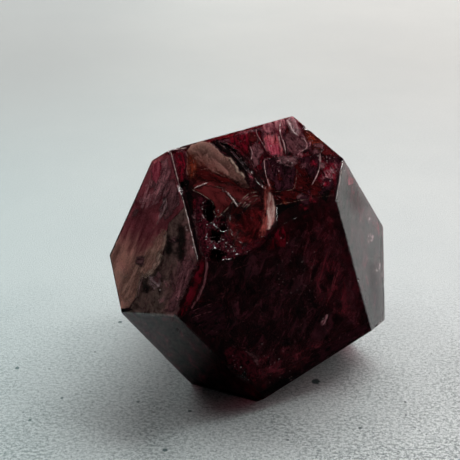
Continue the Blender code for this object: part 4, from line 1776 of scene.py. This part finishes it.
PORES = (
    Pore((315.9, 381.6), (0.95, 1.0)), Pore((17.0, 368.0), (0.5, 0.6)),
    Pore((120.0, 322.0), (0.5, 0.5)), Pore((165.0, 450.0), (0.5, 0.5)),
    Pore((190.0, 411.0), (0.4, 0.4)), Pore((62.0, 398.0), (0.3, 0.4)),
    Pore((30.0, 420.0), (0.35, 0.4)), Pore((95.0, 352.0), (0.3, 0.3)),
    Pore((405.0, 402.0), (0.3, 0.3)), Pore((360.0, 428.0), (0.35, 0.4)),
    Pore((288.0, 440.0), (0.3, 0.3)), Pore((138.0, 402.0), (0.35, 0.3)),
)


@dataclass(frozen=True)
class FloorFinish:
    """Pale cast stone whose grit stands out in front, tinted at the left, with painted light and
    shade.

    It is painted lighter in front, and painted shade darkens it towards the back and in the far
    left corner. Near, along and across are places in metres. A strength of two numbers is what
    there is everywhere, and what is added in front or, for the tint, where it lies along the floor.
    """

    roughness: float = 0.75
    relief: float = 0.15
    cool: Colour = (0.76, 0.78, 0.775)
    warm: Colour = (0.84, 0.85, 0.835)
    broad: Grain = Grain(0.012, 5.0)
    broad_span: Span = (0.3, 0.7)
    near: Span = (0.05, -0.05)
    # Painted light: the colour that lightens the floor in front.
    bright: Colour = (0.98, 0.98, 0.97)
    painted_front_light_strength: float = 0.9
    grit: Colour = (0.09, 0.10, 0.10)
    grit_grain: Grain = Grain(1.6, 4.0, 0.8)
    grit_turn: Axes = (0.0, 0.0, 8.0)
    grit_stretch: Axes = (0.75, 1.0, 1.0)
    grit_span: Span = (0.55, 0.42)
    grit_strength: Span = (0.05, 0.42)
    clump_grain: Grain = Grain(0.06)
    clump_span: Span = (0.40, 0.62)
    clump_strength: float = 0.30
    sand: Colour = (0.13, 0.14, 0.14)
    sand_grain: Grain = Grain(2.6, 3.0, 0.8)
    sand_span: Span = (0.50, 0.38)
    sand_strength: Span = (0.08, 0.45)
    dot: Colour = (0.06, 0.06, 0.06)
    dot_grain: Grain = Grain(1.1, 2.0, 0.7)
    dot_span: Span = (0.37, 0.30)
    dot_strength: Span = (0.05, 0.8)
    pore: Colour = (0.012, 0.011, 0.011)
    pore_grain: Grain = Grain(1.2, 3.0, 0.8)
    pore_wander: float = 1.6
    pore_rim: Span = (1.1, 0.8)
    # Painted shade: the colour that darkens the floor towards the back.
    shade: Colour = (0.44, 0.42, 0.39)
    shade_along: Span = (-0.04, 0.28)
    shade_strength: float = 0.66
    tint: Colour = (0.38, 0.60, 0.60)
    tint_across: Span = (0.10, -0.12)
    tint_along: Span = (0.30, -0.04)
    tint_strength: Span = (0.14, 0.38)
    # Painted shade: the colour that darkens the far left corner.
    corner: Colour = (0.34, 0.35, 0.35)
    corner_shade_across: Span = (0.0, -0.10)
    corner_shade_along: Span = (0.04, 0.25)
    corner_shade_strength: float = 0.4

    def make(self, stone: Stone) -> bpy.types.Material:
        """Returns the floor's material, with its pores where the stone's eye sees them."""
        graph = Graph("pale_floor")
        where = graph.place()
        across, along = graph.axis(where, "X"), graph.axis(where, "Y")
        near = along.between(*self.near)
        sand = graph.grain(where, self.sand_grain)
        dots = graph.grain(where, self.dot_grain).between(*self.dot_span)
        clumps = graph.grain(where, self.clump_grain).between(*self.clump_span)
        coarse = graph.grain(graph.place(self.grit_turn, self.grit_stretch), self.grit_grain)
        clumped = self.grit_strength[1] + self.clump_strength * clumps
        tinted = self._rising(self.tint_strength, along.between(*self.tint_along))
        corner_shaded = across.between(*self.corner_shade_across) * along.between(*self.corner_shade_along)
        # Painted light and shade: the first layer lightens the floor in front, the shade layer
        # darkens it towards the back, and the last darkens the far left corner.
        layers = (
            (near * self.painted_front_light_strength, self.bright),
            (coarse.between(*self.grit_span) * (self.grit_strength[0] + near * clumped), self.grit),
            (sand.between(*self.sand_span) * self._rising(self.sand_strength, near), self.sand),
            (dots * self._rising(self.dot_strength, near), self.dot),
            (self._pores(graph, where, stone), self.pore),
            (along.between(*self.shade_along) * self.shade_strength, self.shade),
            (across.between(*self.tint_across) * tinted, self.tint),
            (corner_shaded * self.corner_shade_strength, self.corner),
        )
        broad = graph.grain(where, self.broad).between(*self.broad_span)
        tone = graph.blend(broad, self.cool, self.warm)
        for share, colour in layers:
            tone = graph.blend(share, tone, colour)
        shader = graph.node(
            "ShaderNodeBsdfPrincipled",
            {},
            {"Base Color": tone, "Roughness": self.roughness,
             "Normal": graph.relief(sand, self.relief)},
        )
        return graph.surface(shader)

    @staticmethod
    def _rising(strength: Span, place: Signal) -> Signal:
        """Returns a strength that grows by its second number from 0 to 1 of a place."""
        return strength[0] + strength[1] * place

    def _pores(self, graph: Graph, where: Signal, stone: Stone) -> Signal:
        """Returns where the floor has its few open pores."""
        total = 0.0
        for pore in PORES:
            ray = stone.sight(pore.pixel)
            spot = (stone.eye - ray * (stone.eye.z / ray.z)) * MM
            scale = tuple(1.0 / (reach * MM) for reach in pore.reach)
            shift = graph.node("ShaderNodeVectorMath", {"operation": "SUBTRACT"},
                               {0: where, 1: spot})
            share = graph.node("ShaderNodeVectorMath", {"operation": "MULTIPLY"},
                               {0: shift, 1: (*scale, 0.0)})
            length = graph.node("ShaderNodeVectorMath", {"operation": "LENGTH"}, {0: share},
                                "Value")
            wander = (graph.grain(where, self.pore_grain) - 0.5) * self.pore_wander
            total = (length + wander).between(*self.pore_rim).most(total)
        return total


@dataclass(frozen=True)
class CardFinish:
    """Flat black, painted shade in reflections, that turns clear towards the left, where fade is in
    metres.
    """

    black: Colour = (0.01, 0.01, 0.01)
    fade: Span = (-0.023, -0.010)

    def make(self) -> bpy.types.Material:
        """Returns the card's material."""
        graph = Graph("black_card")
        side = graph.axis(graph.place(), "X").between(*self.fade)
        shader = graph.node("ShaderNodeBsdfDiffuse", {}, {"Color": (*self.black, 1.0)})
        clear = graph.node("ShaderNodeBsdfTransparent", {}, {})
        return graph.surface(
            graph.node("ShaderNodeMixShader", {}, {0: side, 1: clear, 2: shader}))


@dataclass(frozen=True)
class Panel:
    """A soft light: its power in watts, and its width, height and place in metres."""

    name: str
    power: float
    size: Span
    place: Axes

    def hang(self, aim: Axes) -> None:
        """Hangs the light so that it faces a point."""
        lamp = bpy.data.lights.new(self.name, "AREA")
        lamp.energy, lamp.shape = self.power, "RECTANGLE"
        lamp.size, lamp.size_y = self.size
        panel = bpy.data.objects.new(self.name, lamp)
        panel.location = self.place
        ahead = Vector(aim) - Vector(self.place)
        panel.rotation_euler = ahead.to_track_quat("-Z", "Y").to_euler()
        bpy.context.scene.collection.objects.link(panel)


@dataclass
class Studio:
    """A pale floor, soft lights and the camera, in metres; the cards are in millimetres."""

    stone: Stone
    floor: FloorFinish = FloorFinish()
    floor_half: float = 5.0
    floor_cells: int = 8
    card: CardFinish = CardFinish()
    upright_shade_card: tuple[Axes, ...] = (
        (45.0, -125.0, 0.5), (150.0, -35.0, 0.5), (150.0, -35.0, 70.0), (45.0, -125.0, 70.0))
    lying_shade_card: tuple[Axes, ...] = (
        (-22.0, -120.0, 0.3), (150.0, -120.0, 0.3), (150.0, -12.0, 0.3), (-22.0, -12.0, 0.3))
    surroundings: Colour = (0.012, 0.012, 0.012)
    aim: Axes = (0.0, 0.0, 0.02)
    panels: tuple[Panel, ...] = (
        Panel("back_light", 19.5, (1.4, 0.7), (0.35, 0.85, 0.95)),
        Panel("right_light", 2.85, (0.7, 0.5), (1.0, 0.35, 0.58)),
        Panel("left_light", 4.4, (0.6, 0.6), (-0.8, 0.65, 0.95)),
    )

    def build(self) -> None:
        """Sets the whole studio up."""
        self._floor()
        self._world()
        for panel in self.panels:
            panel.hang(self.aim)
        self._cards()
        self._camera()
        bpy.context.scene.view_settings.view_transform = "Standard"

    def _floor(self) -> None:
        """Lays the pale floor."""
        bm = bmesh.new()
        bmesh.ops.create_grid(bm, x_segments=self.floor_cells, y_segments=self.floor_cells,
                              size=self.floor_half / MM)
        make_piece("floor", bm, self.floor.make(self.stone))

    def _world(self) -> None:
        """Sets the dim surroundings."""
        world = bpy.data.worlds.new("studio")
        world.use_nodes = True
        background = world.node_tree.nodes["Background"]
        background.inputs["Color"].default_value = (*self.surroundings, 1.0)
        bpy.context.scene.world = world

    def _cards(self) -> None:
        """Places two black cards at the front right that only mirror reflections see: painted
        shade, which darkens the facets' mirror images of the room at the front right and of the
        floor under and before the stone.
        """
        bm = bmesh.new()
        for corners in (self.upright_shade_card, self.lying_shade_card):
            bm.faces.new([bm.verts.new(corner) for corner in corners])
        card = make_piece("black_card", bm, self.card.make())
        card.visible_camera = card.visible_diffuse = card.visible_shadow = False
        card.visible_transmission = card.visible_volume_scatter = False

    def _camera(self) -> None:
        """Sets the camera where the eye is."""
        camera = bpy.data.cameras.new("camera")
        camera.angle = math.radians(self.stone.field_of_view)
        holder = bpy.data.objects.new("camera", camera)
        holder.location = self.stone.eye * MM
        holder.rotation_euler = Euler((math.radians(90.0 - self.stone.pitch), 0.0, 0.0))
        bpy.context.scene.collection.objects.link(holder)
        bpy.context.scene.camera = holder


def main() -> None:
    """Builds the stone and its studio."""
    logging.basicConfig(level=logging.INFO, format="%(name)s %(message)s")
    stone = Stone()
    Body(stone).build()
    Heart(stone).build()
    maker = VeilMaker(stone)
    for name, veils in VEILS.items():
        maker.build(name, veils)
    groups = make_shards(stone)
    for group in groups:
        for name, veils in group.veils().items():
            maker.build(name, veils)
    glints = GlintMaker(stone)
    for name, group in STRANDS.items():
        glints.strands(name, group)
    for name, patches in GRAINS.items():
        glints.grains(name, patches)
    for group in groups:
        for name, patches in group.patches().items():
            glints.grains(name, patches)
    glints.sparkles("sparkles", SPARKLES)
    Studio(stone).build()


if __name__ == "__main__":
    main()
